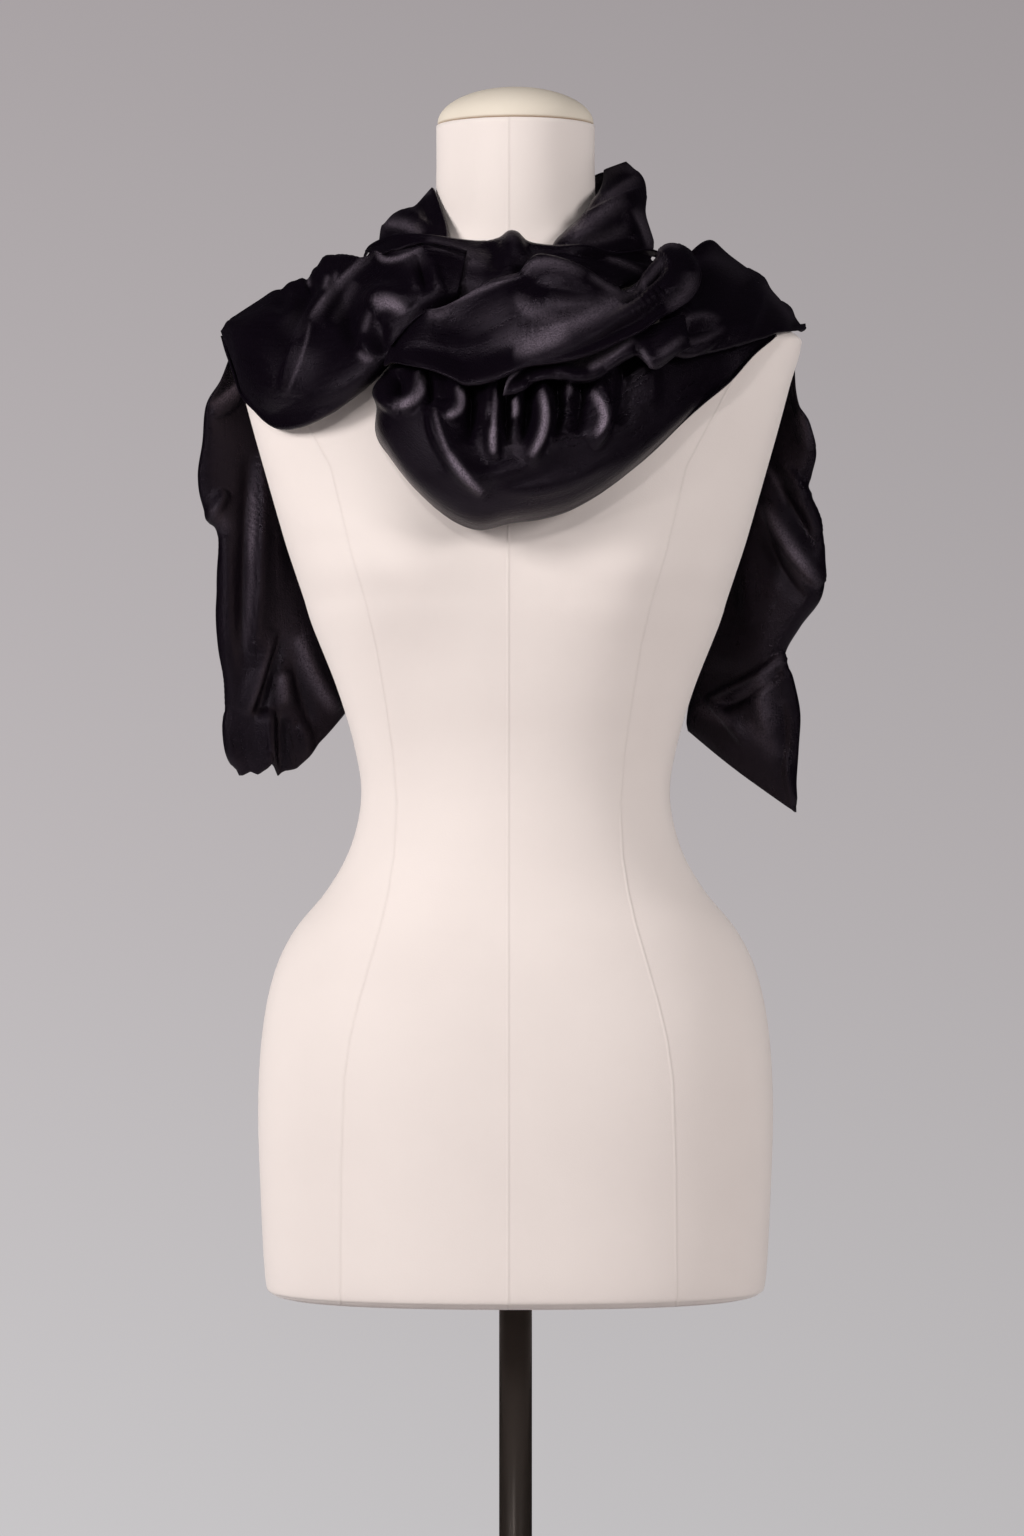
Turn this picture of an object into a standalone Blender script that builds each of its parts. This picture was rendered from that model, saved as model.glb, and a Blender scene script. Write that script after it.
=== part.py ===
"""Velvet scarf wound round the neck of a limbless dress form that stands on a pole and a disc base.

Every length is in millimetres and turns into metres where a mesh is made. The scarf is a long strip, and each
stretch of it that shows is one sheet with its own wall. A stretch is a row of sections. A section runs from a
first edge (a) to a second edge (b), and between them it stands out towards the viewer by its belly.
The edges are stated as the front view shows them, in the upright plane through the form's axis, with y as
the depth behind that plane. The function in_space puts them where they are for a viewer at EYE.
"""

import math

import bpy
import numpy as np
from mathutils import Vector
from mathutils.bvhtree import BVHTree

MM = 0.001
GAP = 0.3
WALL = 2.0
REACH = 180.0
EYE = (-2.5, -3650.0, 1024.0)

BASE_RADIUS = 180.0
BASE_THICK = 8.0
BOSS_RADIUS = 32.0
BOSS_TOP = 34.0
POLE_RADIUS = 11.5
FORM_BOTTOM = 655.0
FORM_TOP = 1473.0
CAP_TOP = 1500.0
NECK_RADIUS = 55.5
BUST_HEIGHT = 18.0
BUST_X = 92.0
BUST_Z = 1163.0
BUST_SPREAD = 50.0
FORM_SEGMENTS = 36
TURN_STEPS = 3

# Rings of the form, from the bottom up.
FORM_COLUMNS = ("z", "half_width", "front", "back", "squareness")
FORM_RINGS = (
    (655, 162, 100, 106, 2.3),
    (658, 171, 108, 114, 2.3),
    (668, 175, 112, 118, 2.3),
    (720, 178, 114, 121, 2.3),
    (787, 180, 116, 123, 2.3),
    (840, 177, 114, 121, 2.3),
    (880, 169, 109, 114, 2.2),
    (910, 155, 103, 104, 2.2),
    (940, 131, 96, 92, 2.1),
    (970, 115, 90, 80, 2.1),
    (1005, 108, 87, 74, 2.1),
    (1040, 113, 90, 74, 2.1),
    (1080, 125, 98, 77, 2.2),
    (1123, 142, 106, 80, 2.2),
    (1142, 148, 108, 82, 2.2),
    (1160, 154, 109, 83, 2.3),
    (1178, 160, 109, 85, 2.3),
    (1195, 165, 108, 86, 2.4),
    (1230, 175, 104, 88, 2.5),
    (1262, 184, 98, 88, 2.7),
    (1292, 192, 90, 85, 2.9),
    (1316, 199, 80, 80, 3.0),
    (1326, 196, 75, 77, 2.9),
    (1342, 164, 69, 72, 2.6),
    (1360, 128, 64, 67, 2.4),
    (1378, 92, 59, 62, 2.2),
    (1392, 66, 57, 58, 2.0),
    (1408, 57, 56, 56, 2.0),
    (1440, NECK_RADIUS, NECK_RADIUS, NECK_RADIUS, 2.0),
    (FORM_TOP, NECK_RADIUS, NECK_RADIUS, NECK_RADIUS, 2.0),
)

# Sections of the front stretches, from the viewer's left to right. Edge a is the lower one, edge b the upper.
# Sections of the tails and of the standing collar, from the top down. Edge a is the left one, edge b the right.
# The shoulder stretches have a ninth column, turn: the share that a section has of the turn of its edge b.
SECTION_COLUMNS = ("x_a", "z_a", "y_a", "x_b", "z_b", "y_b", "belly", "sag")

NECK_FRONT = (
    (-96, 1382, 4, -94, 1392, 12, 10, 0),
    (-88, 1374, -30, -86, 1394, -12, 18, 0),
    (-72, 1358, -58, -72, 1396, -42, 24, 0),
    (-54, 1340, -76, -54, 1396, -64, 26, 0),
    (-38, 1328, -86, -36, 1393, -72, 26, 0),
    (-24, 1322, -90, -22, 1392, -76, 26, 0),
    (-12, 1320, -92, -12, 1394, -80, 28, 0),
    (-3, 1320, -92, -3, 1399, -84, 30, 0),
    (8, 1322, -92, 7, 1391, -80, 26, 0),
    (26, 1328, -88, 24, 1388, -76, 24, 0),
    (44, 1340, -78, 42, 1389, -70, 22, 0),
    (62, 1356, -62, 60, 1384, -56, 18, 0),
    (80, 1370, -40, 78, 1382, -36, 10, 0),
)

COLLAR_LEFT = (
    (-97, 1376, 20, -95, 1392, 22, 6, 0),
    (-94, 1376, -4, -92, 1406, 6, 14, 0),
    (-84, 1378, -26, -80, 1414, -4, 18, 0),
    (-72, 1380, -44, -69, 1416, -6, 14, 0),
    (-62, 1382, -54, -60, 1424, 2, 8, 0),
    (-54, 1384, -58, -55, 1431, 14, 3, 0),
)

COLLAR_RIGHT = (
    (58, 1441, 24, 77, 1448, 14, 5, 0),
    (55, 1434, 12, 88, 1438, 6, 14, 0),
    (51, 1423, -30, 91, 1427, 0, 20, 0),
    (45, 1410, -42, 90, 1413, -2, 24, 0),
    (36, 1401, -54, 92, 1401, -6, 24, 0),
    (27, 1391, -62, 94, 1391, -10, 22, 0),
    (30, 1384, -66, 92, 1385, -20, 16, 0),
    (36, 1378, -70, 86, 1384, -32, 8, 0),
)

FRONT_COWL = (
    (-95, 1286, -98, -92, 1301, -100, 6, 0),
    (-97, 1259, -100, -84, 1307, -108, 26, 0),
    (-87, 1242, -104, -70, 1308, -112, 34, 0),
    (-73, 1224, -108, -56, 1308, -114, 40, 0),
    (-56, 1207, -111, -42, 1307, -115, 43, 0),
    (-40, 1196, -112, -28, 1306, -116, 44, 0),
    (-24, 1191, -112, -12, 1305, -116, 44, 0),
    (-6, 1195, -112, 3, 1305, -116, 44, 0),
    (18, 1199, -112, 21, 1307, -116, 43, 0),
    (40, 1206, -111, 38, 1310, -115, 41, 0),
    (63, 1219, -108, 57, 1315, -112, 37, 0),
    (85, 1237, -103, 75, 1322, -107, 32, 0),
    (111, 1262, -94, 95, 1330, -98, 25, 0),
    (132, 1279, -84, 117, 1335, -88, 18, 0),
    (149, 1294, -72, 138, 1340, -74, 12, 0),
    (166, 1313, -54, 158, 1343, -56, 8, 0),
    (182, 1327, -32, 175, 1340, -32, 4, 0),
)

RIGHT_SHOULDER = (
    (98, 1321, -108, 106, 1366, -58, 20, 0, 0.2),
    (113, 1316, -106, 120, 1386, -34, 34, 0, 0.6),
    (129, 1314, -100, 132, 1393, -22, 36, 0, 1),
    (145, 1316, -91, 145, 1389, -15, 33, 0, 1),
    (159, 1320, -80, 159, 1380, -9, 28, 0, 1),
    (172, 1323, -66, 171, 1371, -4, 24, 0, 1),
    (183, 1326, -48, 183, 1359, 1, 20, 0, 0.9),
    (193, 1326, -26, 193, 1345, 6, 13, 0, 0.6),
    (201, 1327, 2, 200, 1333, 12, 5, 0, 0.3),
)

RUFFLE = (
    (-9, 1285, -124, -2, 1301, -120, 6, 0),
    (4, 1288, -126, 9, 1304, -122, 8, 0),
    (18, 1296, -126, 20, 1308, -122, 7, 0),
    (31, 1296, -126, 32, 1309, -122, 8, 0),
    (45, 1294, -126, 44, 1312, -122, 9, 0),
    (59, 1298, -122, 57, 1317, -118, 9, 0),
    (70, 1306, -118, 68, 1321, -114, 9, 0),
    (82, 1313, -112, 79, 1325, -108, 9, 0),
    (91, 1307, -106, 88, 1328, -102, 8, 0),
    (99, 1304, -100, 96, 1331, -96, 8, 0),
    (112, 1313, -92, 108, 1336, -88, 7, 0),
    (122, 1319, -84, 118, 1339, -80, 5, 0),
)

FRONT_SWAG = (
    (-92, 1306, -98, -87, 1320, -104, 5, 0),
    (-84, 1309, -110, -76, 1333, -104, 10, 0),
    (-72, 1307, -116, -64, 1343, -104, 14, 0),
    (-58, 1303, -120, -54, 1343, -104, 18, 0),
    (-44, 1297, -124, -44, 1347, -104, 19, 0),
    (-34, 1292, -126, -34, 1354, -104, 21, 0),
    (-20, 1294, -126, -22, 1362, -106, 22, 0),
    (-6, 1300, -126, -10, 1367, -108, 22, 0),
    (9, 1305, -126, 4, 1371, -108, 24, 0),
    (26, 1307, -126, 17, 1380, -108, 24, 0),
    (42, 1310, -126, 30, 1381, -108, 24, 0),
    (59, 1316, -124, 48, 1374, -106, 23, 0),
    (75, 1323, -120, 63, 1364, -104, 22, 0),
    (89, 1330, -116, 76, 1361, -102, 21, 0),
    (101, 1339, -110, 88, 1372, -96, 20, 0),
    (113, 1346, -102, 98, 1382, -88, 19, 0),
    (122, 1352, -92, 104, 1390, -80, 18, 0),
    (127, 1360, -80, 113, 1391, -72, 14, 0),
    (128, 1370, -70, 121, 1385, -66, 6, 0),
)

LEFT_SHOULDER = (
    (-198, 1303, 4, -206, 1330, 14, 6, 0, 0.3),
    (-187, 1282, -28, -194, 1343, 4, 20, 0, 0.6),
    (-171, 1268, -52, -178, 1353, -4, 28, 0, 0.9),
    (-152, 1268, -72, -158, 1361, -10, 34, 0, 1),
    (-133, 1277, -86, -140, 1374, -14, 38, 0, 1),
    (-114, 1288, -98, -121, 1380, -20, 40, 0, 0.8),
    (-98, 1297, -106, -105, 1383, -32, 40, 0, 0.4),
    (-88, 1308, -112, -91, 1386, -48, 38, 0, 0.2),
    (-76, 1322, -114, -78, 1383, -74, 30, 0, 0.12),
    (-66, 1334, -116, -65, 1380, -92, 18, 0, 0.12),
    (-62, 1342, -116, -57, 1374, -98, 8, 0, 0.12),
)

LEFT_TAIL = (
    (-188, 1334, 30, -118, 1374, 36, 8, 0),
    (-198, 1314, 32, -126, 1350, 60, 9, 0),
    (-206, 1295, 28, -133, 1312, 84, 12, 0),
    (-216, 1278, 34, -133, 1284, 94, 14, 0),
    (-219, 1251, 40, -131, 1251, 98, 14, 0),
    (-222, 1228, 44, -128, 1228, 100, 14, 0),
    (-219, 1208, 46, -125, 1206, 100, 14, 0),
    (-208, 1185, 48, -121, 1185, 100, 14, 0),
    (-208, 1152, 50, -115, 1163, 98, 14, 0),
    (-209, 1132, 50, -110, 1149, 98, 14, 0),
    (-207, 1109, 52, -107, 1135, 96, 14, 2),
    (-202, 1087, 54, -105, 1124, 96, 14, 5),
    (-203, 1061, 56, -102, 1113, 96, 13, 10),
    (-199, 1034, 58, -100, 1103, 96, 12, 18),
    (-193, 1019, 60, -100, 1092, 96, 10, 25),
)

RIGHT_TAIL = (
    (118, 1376, 36, 186, 1338, 30, 8, 0),
    (126, 1348, 60, 194, 1318, 32, 9, 0),
    (131, 1306, 84, 196, 1288, 30, 12, 0),
    (130, 1275, 92, 201, 1269, 36, 14, 0),
    (130, 1249, 96, 210, 1247, 40, 14, 0),
    (129, 1229, 98, 207, 1229, 44, 14, 0),
    (128, 1214, 98, 203, 1214, 46, 14, 0),
    (127, 1194, 98, 213, 1194, 48, 16, 0),
    (126, 1170, 98, 216, 1170, 50, 18, 0),
    (125, 1145, 98, 214, 1144, 52, 18, 0),
    (126, 1121, 98, 199, 1123, 54, 16, 0),
    (126, 1103, 98, 188, 1103, 56, 14, 0),
    (125, 1089, 98, 194, 1087, 56, 12, 0),
    (123, 1075, 98, 199, 1063, 58, 12, 0),
    (121, 1065, 96, 198, 1037, 60, 12, 2),
    (120, 1056, 96, 196, 1009, 62, 10, 2),
    (121, 1050, 96, 196, 993, 64, 8, 2),
)

# The stretch behind the neck, by its angle round the neck's axis: 0 is the viewer's right, 90 the back.
BACK_COLUMNS = ("angle", "low_radius", "low_z", "top_radius", "top_z", "belly")
COLLAR_BACK = (
    (8, 92, 1388, 84, 1440, 8),
    (32, 90, 1382, 76, 1446, 12),
    (62, 86, 1378, 72, 1442, 14),
    (95, 84, 1376, 70, 1436, 14),
    (128, 86, 1376, 72, 1430, 14),
    (154, 90, 1378, 78, 1420, 12),
    (174, 94, 1380, 88, 1406, 8),
)

# Folds as the front view shows them: a line from x0, z0 to x1, z1 that bows to its left by bow. A ridge has a
# height above the sheet, and a trough one below it. Both fade to the sides over the width.
FOLD_COLUMNS = ("x0", "z0", "x1", "z1", "bow", "height", "width")

NECK_FOLDS = (
    (-50, 1384, -8, 1378, -3, 4, 9),
    (-4, 1396, 6, 1372, 0, 5, 8),
    (-60, 1366, -20, 1352, -4, -5, 9),
    (12, 1378, 60, 1362, 4, 4, 8),
)

COLLAR_RIGHT_FOLDS = (
    (90, 1428, 40, 1402, 5, 5, 7),
    (80, 1442, 58, 1432, 2, -4, 6),
    (86, 1408, 58, 1386, 3, -5, 8),
    (90, 1392, 60, 1372, 3, 4, 7),
)

# The pleats fan out from the gather line and die down the cowl.
COWL_FOLDS = (
    (-88, 1302, -78, 1276, 8, 6, 6),
    (-72, 1300, -66, 1272, -6, 7, 6),
    (-62, 1298, -56, 1262, 3, -6, 6),
    (-54, 1298, -34, 1222, -10, 7, 7),
    (-42, 1298, -38, 1268, -3, 6, 5),
    (-30, 1296, -24, 1252, -3, -6, 6),
    (-16, 1294, -18, 1246, -2, 6, 5),
    (-2, 1292, -1, 1268, 0, 6, 4),
    (7, 1290, 8, 1252, 0, -6, 5),
    (16, 1292, 10, 1248, 4, 7, 6),
    (34, 1294, 34, 1280, 0, 4, 5),
    (45, 1296, 42, 1250, 3, -6, 6),
    (56, 1298, 54, 1258, 6, 7, 6),
    (72, 1304, 74, 1262, 3, -5, 8),
    (-60, 1236, 40, 1234, -20, 4, 10),
    (60, 1232, 130, 1290, -6, 4, 9),
)

SHOULDER_RIGHT_FOLDS = (
    (104, 1340, 120, 1338, 2, 5, 5),
    (104, 1326, 148, 1324, -6, 6, 7),
    (118, 1332, 152, 1340, -6, 5, 7),
    (150, 1378, 186, 1340, 4, -5, 8),
    (136, 1384, 120, 1350, 3, -5, 9),
)

SWAG_FOLDS = (
    (-6, 1304, 86, 1346, -3, 7, 8),
    (86, 1346, 112, 1376, -2, 5, 8),
    (84, 1352, 105, 1386, -4, -13, 7),
    (74, 1358, 100, 1386, 3, 6, 5),
    (-62, 1342, -10, 1364, -2, 3, 5),
    (4, 1370, 70, 1354, 5, 4, 6),
    (-50, 1320, 30, 1324, -4, -4, 14),
    (-86, 1312, -36, 1296, 0, 4, 7),
)

LEFT_SHOULDER_FOLDS = (
    (-116, 1376, -158, 1292, -12, 7, 7),
    (-104, 1376, -130, 1290, -10, -6, 8),
    (-102, 1350, -78, 1348, 4, 9, 9),
    (-98, 1334, -84, 1330, 0, -7, 8),
    (-106, 1312, -96, 1312, -2, 6, 6),
    (-142, 1362, -150, 1344, 0, 5, 4),
    (-134, 1366, -140, 1346, 0, -4, 4),
    (-127, 1368, -134, 1348, 0, 5, 4),
    (-188, 1336, -160, 1300, 4, 5, 12),
)

LEFT_TAIL_FOLDS = (
    (-194, 1292, -214, 1270, 0, 6, 7),
    (-182, 1230, -182, 1100, 6, 8, 9),
    (-203, 1216, -214, 1198, 2, 5, 7),
    (-198, 1180, -198, 1060, 4, -7, 8),
    (-166, 1120, -180, 1064, 4, -9, 7),
    (-162, 1085, -160, 1070, 0, 6, 8),
    (-150, 1120, -126, 1062, 4, 7, 8),
    (-150, 1240, -140, 1150, 0, -6, 10),
    (-204, 1060, -194, 1024, 2, 6, 7),
    (-170, 1060, -168, 1026, 0, -8, 6),
)

RIGHT_TAIL_FOLDS = (
    (182, 1240, 202, 1214, 3, 7, 7),
    (177, 1220, 208, 1172, -5, -8, 9),
    (178, 1198, 206, 1152, -3, 7, 8),
    (188, 1104, 140, 1068, 6, 8, 7),
    (186, 1094, 146, 1060, 6, -9, 7),
    (160, 1240, 158, 1120, 4, -5, 10),
    (172, 1080, 184, 1040, 3, 6, 9),
    (140, 1068, 166, 1036, -2, -5, 7),
)


def clear_scene():
    for old in list(bpy.data.objects):
        bpy.data.objects.remove(old, do_unlink=True)


def material(name, colour, roughness, metallic=0.0, sheen=0.0):
    made = bpy.data.materials.new(name)
    made.use_nodes = True
    shader = made.node_tree.nodes["Principled BSDF"]
    shader.inputs["Base Color"].default_value = (*colour, 1.0)
    shader.inputs["Roughness"].default_value = roughness
    shader.inputs["Metallic"].default_value = metallic
    shader.inputs["Sheen Weight"].default_value = sheen
    made.diffuse_color = (*colour, 1.0)
    return made


def add_object(name, points, faces, look):
    """A mesh object from points in millimetres."""
    mesh = bpy.data.meshes.new(name)
    mesh.from_pydata((np.asarray(points) * MM).tolist(), [], faces)
    mesh.materials.append(look)
    mesh.polygons.foreach_set("use_smooth", [True] * len(mesh.polygons))
    mesh.update()
    made = bpy.data.objects.new(name, mesh)
    PIECES.objects.link(made)
    return made


def closed_loft(name, rings, look):
    """Rings of equal counts joined one to the next, with a flat face on the first and the last."""
    count = len(rings[0])
    points = np.concatenate(rings)
    faces = [tuple(range(count))[::-1]]
    for level in range(len(rings) - 1):
        start = level * count
        for step in range(count):
            after = (step + 1) % count
            faces.append((start + step, start + after, start + count + after, start + count + step))
    last = (len(rings) - 1) * count
    faces.append(tuple(last + step for step in range(count)))
    return add_object(name, points, faces, look)


def turned_piece(name, profile, steps, look):
    """A solid of revolution from a profile of radius and height that runs down its outer side."""
    mesh = bpy.data.meshes.new(name)
    points = [(radius * MM, 0.0, height * MM) for radius, height in profile]
    mesh.from_pydata(points, [(i, i + 1) for i in range(len(points) - 1)], [])
    mesh.materials.append(look)
    made = bpy.data.objects.new(name, mesh)
    PIECES.objects.link(made)
    turn = made.modifiers.new("turn", "SCREW")
    turn.axis = "Z"
    turn.steps = steps
    turn.render_steps = steps
    turn.use_merge_vertices = True
    turn.merge_threshold = 0.00001
    turn.use_smooth_shade = True
    return made


def rod_between(name, radius, bottom, top, vertices, look):
    """An upright round rod."""
    bpy.ops.mesh.primitive_cylinder_add(
        vertices=vertices,
        radius=radius * MM,
        depth=(top - bottom) * MM,
        location=(0.0, 0.0, (top + bottom) / 2 * MM),
    )
    made = bpy.context.object
    made.name = name
    made.data.materials.append(look)
    made.data.shade_smooth()
    for owner in list(made.users_collection):
        owner.objects.unlink(made)
    PIECES.objects.link(made)
    return made


def form_ring(row):
    """x = w |cos|^(2/p), y = d |sin|^(2/p) with their signs, and the bust stands forward as two soft mounds."""
    z, half_width, front, back, squareness = row
    angles = np.linspace(0, 2 * math.pi, FORM_SEGMENTS, endpoint=False)
    cosine = np.cos(angles)
    sine = np.sin(angles)
    x = half_width * np.sign(cosine) * np.abs(cosine) ** (2 / squareness)
    depth = np.where(sine > 0, back, front)
    y = depth * np.sign(sine) * np.abs(sine) ** (2 / squareness)
    across = (np.abs(x) - BUST_X) / BUST_SPREAD
    up = (z - BUST_Z) / BUST_SPREAD
    y = y - BUST_HEIGHT * np.clip(-sine, 0, 1) * np.exp(-(across**2) - up**2)
    return np.column_stack([x, y, np.full(FORM_SEGMENTS, float(z))])


def smooth_rows(rows, count):
    """Catmull-Rom curve through the rows, read at count steps of equal length along the sections' middles."""
    rows = np.array(rows, float)
    padded = np.vstack([2 * rows[0] - rows[1], rows, 2 * rows[-1] - rows[-2]])

    def at(place):
        first = np.clip(place.astype(int), 0, len(rows) - 2)
        f = (place - first)[:, None]
        p0 = padded[first]
        p1 = padded[first + 1]
        p2 = padded[first + 2]
        p3 = padded[first + 3]
        bend = (2 * p0 - 5 * p1 + 4 * p2 - p3) * f**2 + (3 * p1 - p0 - 3 * p2 + p3) * f**3
        return 0.5 * (2 * p1 + (p2 - p0) * f + bend)

    fine = np.linspace(0, len(rows) - 1, 40 * len(rows))
    middle = (at(fine)[:, 0:3] + at(fine)[:, 3:6]) / 2
    length = np.concatenate([[0], np.cumsum(np.linalg.norm(np.diff(middle, axis=0), axis=1))])
    return at(np.interp(np.linspace(0, length[-1], count), length, fine))


def in_space(seen):
    """From the front view's x, z and the depth y to the place in space, for a viewer at EYE."""
    eye = np.array(EYE)
    scale = (seen[..., 1:2] - eye[1]) / -eye[1]
    placed = eye + (seen - eye) * scale
    placed[..., 1] = seen[..., 1]
    return placed


def sheet_grid(sections, size, turns, lean, tuck):
    """The sheet's middle surface in the front view, with the share t across it and a mark for turned edges.

    Between the edges t = (1 - cos a) / 2, the place is a + (b - a) t and the depth y_a + (y_b - y_a) t
    - belly sin(pi (a / pi)^lean). Each edge turns back by a quarter round as deep as its turn, and
    the tuck is the share of that by which it goes inwards.
    """
    along, across = size
    turn_a, turn_b = turns
    rows = smooth_rows(sections, along)
    low = rows[:, None, [0, 2, 1]]
    top = rows[:, None, [3, 5, 4]]
    belly = rows[:, None, 6]
    sag = rows[:, None, 7]
    angle = np.linspace(0, math.pi, across)[None, :]
    t = (1 - np.cos(angle)) / 2
    face = low + (top - low) * t[..., None]
    face[..., 1] -= belly * np.sin(math.pi * (angle / math.pi) ** lean)
    face[..., 2] -= sag * np.sin(math.pi * t)
    width = np.linalg.norm((top - low)[..., [0, 2]], axis=-1, keepdims=True)
    inward = (top - low) / np.maximum(width, 1e-6)
    inward[..., 1] = 0
    step = np.linspace(math.pi / 2, 0, TURN_STEPS, endpoint=False)
    parts = [face]
    turned = rows[:, None, 8] if rows.shape[1] > 8 else np.ones((along, 1))
    for edge, turn, way, order in ((low, turn_a, 1, step), (top, turn_b * turned, -1, step[::-1])):
        if np.max(turn) > 0:
            reach = np.minimum(tuck * turn, 0.6 * width[..., 0])[..., None]
            back = edge + way * inward * reach * (1 - np.cos(order))[None, :, None]
            back[..., 1] += turn * np.sin(order)
            parts.insert(0 if way > 0 else len(parts), back)
    grid = np.concatenate(parts, axis=1)
    lead = TURN_STEPS if turn_a > 0 else 0
    tail = TURN_STEPS if turn_b > 0 else 0
    share = np.concatenate([np.zeros(lead), t[0], np.ones(tail)])
    on_face = np.concatenate([np.linspace(0.2, 0.8, lead), np.ones(across), np.linspace(0.8, 0.2, tail)])
    return grid, share, on_face


def normals_of(points):
    """Unit normals of a grid, on the side that its sections stand out to."""
    run = np.gradient(points, axis=0)
    chord = np.gradient(points, axis=1)
    normal = np.cross(run, chord)
    return normal / np.maximum(np.linalg.norm(normal, axis=-1, keepdims=True), 1e-9)


def fold_heights(seen, folds):
    """Sum over the folds of height exp(-(d / width)^2), where d is the distance in the front view to its line."""
    total = np.zeros(seen.shape[:2])
    flat = seen[..., [0, 2]]
    for x0, z0, x1, z1, bow, height, width in folds:
        start = np.array([x0, z0], float)
        end = np.array([x1, z1], float)
        side = np.array([z0 - z1, x1 - x0]) / math.hypot(x1 - x0, z1 - z0)
        f = np.linspace(0, 1, 15)[:, None]
        line = start + (end - start) * f + side * bow * 4 * f * (1 - f)
        distance = np.linalg.norm(flat[..., None, :] - line, axis=-1).min(axis=-1)
        total += height * np.exp(-((distance / width) ** 2))
    return total


def to_eye(points):
    away = np.array(EYE) - points
    return away / np.linalg.norm(away, axis=-1, keepdims=True)


def from_eye(points):
    return -to_eye(points)


def from_line(start, end):
    """Directions straight out from the nearest place on a line through the form."""
    start = np.array(start, float)
    run = np.array(end, float) - start

    def directions(points):
        share = np.clip(((points - start) @ run) / (run @ run), 0, 1)
        away = points - (start + share[..., None] * run)
        return away / np.maximum(np.linalg.norm(away, axis=-1, keepdims=True), 1e-9)

    return directions


def needed_lift(points, out, beneath, stand_off):
    """How far each point has to move along out, to stand off what lies beneath by stand_off."""
    lift = np.zeros(points.shape[:2])
    for place in np.ndindex(lift.shape):
        away = Vector(out[place])
        hit = beneath.ray_cast(Vector(points[place]) + away * REACH, -away, REACH + stand_off)
        if hit[3] is not None:
            lift[place] = REACH + stand_off - hit[3]
    return lift


def spread(values, rounds):
    """Lets each value reach its neighbours, never below what was needed."""
    needed = values.copy()
    for _ in range(rounds):
        padded = np.pad(values, 1, mode="edge")
        mean = (padded[:-2, 1:-1] + padded[2:, 1:-1] + padded[1:-1, :-2] + padded[1:-1, 2:]) / 4
        values = np.maximum(needed, 0.5 * values + 0.5 * mean)
    return values


def grid_faces(along, across):
    index = np.arange(along * across).reshape(along, across)
    corners = (index[:-1, :-1], index[1:, :-1], index[1:, 1:], index[:-1, 1:])
    return np.stack(corners, axis=-1).reshape(-1, 4)


def pieces_tree(pieces):
    """One search tree of some pieces as they are built, in millimetres, and its triangles."""
    bpy.context.view_layer.update()
    graph = bpy.context.evaluated_depsgraph_get()
    points = []
    corners = []
    for piece in pieces:
        mesh = piece.evaluated_get(graph).to_mesh()
        mesh.calc_loop_triangles()
        start = len(points)
        points.extend([vertex.co / MM for vertex in mesh.vertices])
        corners.extend([[start + i for i in triangle.vertices] for triangle in mesh.loop_triangles])
    return BVHTree.FromPolygons(points, corners), np.array(corners)


def crossing_points(points, wall, beneath):
    """Marks the points of a sheet whose wall would cross what lies beneath."""
    trial = add_sheet("trial", points, wall)
    tree, corners = pieces_tree([trial])
    bpy.data.objects.remove(trial, do_unlink=True)
    count = points.shape[0] * points.shape[1]
    marks = np.zeros(count)
    crossing = sorted({pair[0] for pair in tree.overlap(beneath)})
    if crossing:
        marks[corners[crossing].ravel() % count] = 1
    return marks.reshape(points.shape[:2])


def laid(points, share, out_of):
    """Moves a sheet off the pieces beneath it, so that its folded edges rest on them and nothing crosses."""
    beneath = pieces_tree(PIECES.objects)[0]
    out = out_of(points)
    lift = needed_lift(points, out, beneath, WALL / 2 + GAP + 0.3)
    edge = 4
    for _ in range(60):
        low = spread(lift[:, :edge].max(axis=1)[:, None], 3)
        top = spread(lift[:, -edge:].max(axis=1)[:, None], 3)
        lift = spread(np.maximum(lift, low * (1 - share) + top * share), 2)
        moved = points + out * lift[..., None]
        crossing = crossing_points(moved, WALL + 2 * GAP, beneath)
        if not crossing.any():
            break
        lift = lift + 0.6 * crossing
    return moved


def add_sheet(name, points, thick=WALL):
    """The sheet with its wall, half to each side."""
    along, across = points.shape[:2]
    made = add_object(name, points.reshape(-1, 3), grid_faces(along, across).tolist(), VELVET)
    wall = made.modifiers.new("wall", "SOLIDIFY")
    wall.thickness = thick * MM
    wall.offset = 0.0
    return made


def add_stretch(name, sections, folds, size, turns, out_of, lean=1.0, tuck=0.35):
    """One stretch of the scarf, folded and laid on what is beneath it."""
    grid, share, on_face = sheet_grid(sections, size, turns, lean, tuck)
    points = in_space(grid)
    height = fold_heights(grid, folds) * on_face
    points = points + normals_of(points) * height[..., None]
    return add_sheet(name, laid(points, share, out_of))


def back_grid(rows, along, across):
    """Round the neck: radius and height go from the low edge to the top one, and belly stands out between."""
    rows = np.array(rows, float)
    place = np.linspace(0, len(rows) - 1, along)
    angle, low_radius, low_z, top_radius, top_z, belly = (
        np.interp(place, range(len(rows)), rows[:, column])[:, None] for column in range(6)
    )
    turn = np.linspace(0, math.pi, across)[None, :]
    t = (1 - np.cos(turn)) / 2
    radius = low_radius + (top_radius - low_radius) * t + belly * np.sin(turn)
    height = low_z + (top_z - low_z) * t + 3 * np.sin(np.radians(angle) * 5) * t
    angle = np.radians(angle)
    return np.stack([radius * np.cos(angle), radius * np.sin(angle), height + 0 * radius], axis=-1), t[0]


clear_scene()
PIECES = bpy.data.collections.new("velvet_scarf")
bpy.context.scene.collection.children.link(PIECES)

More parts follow.
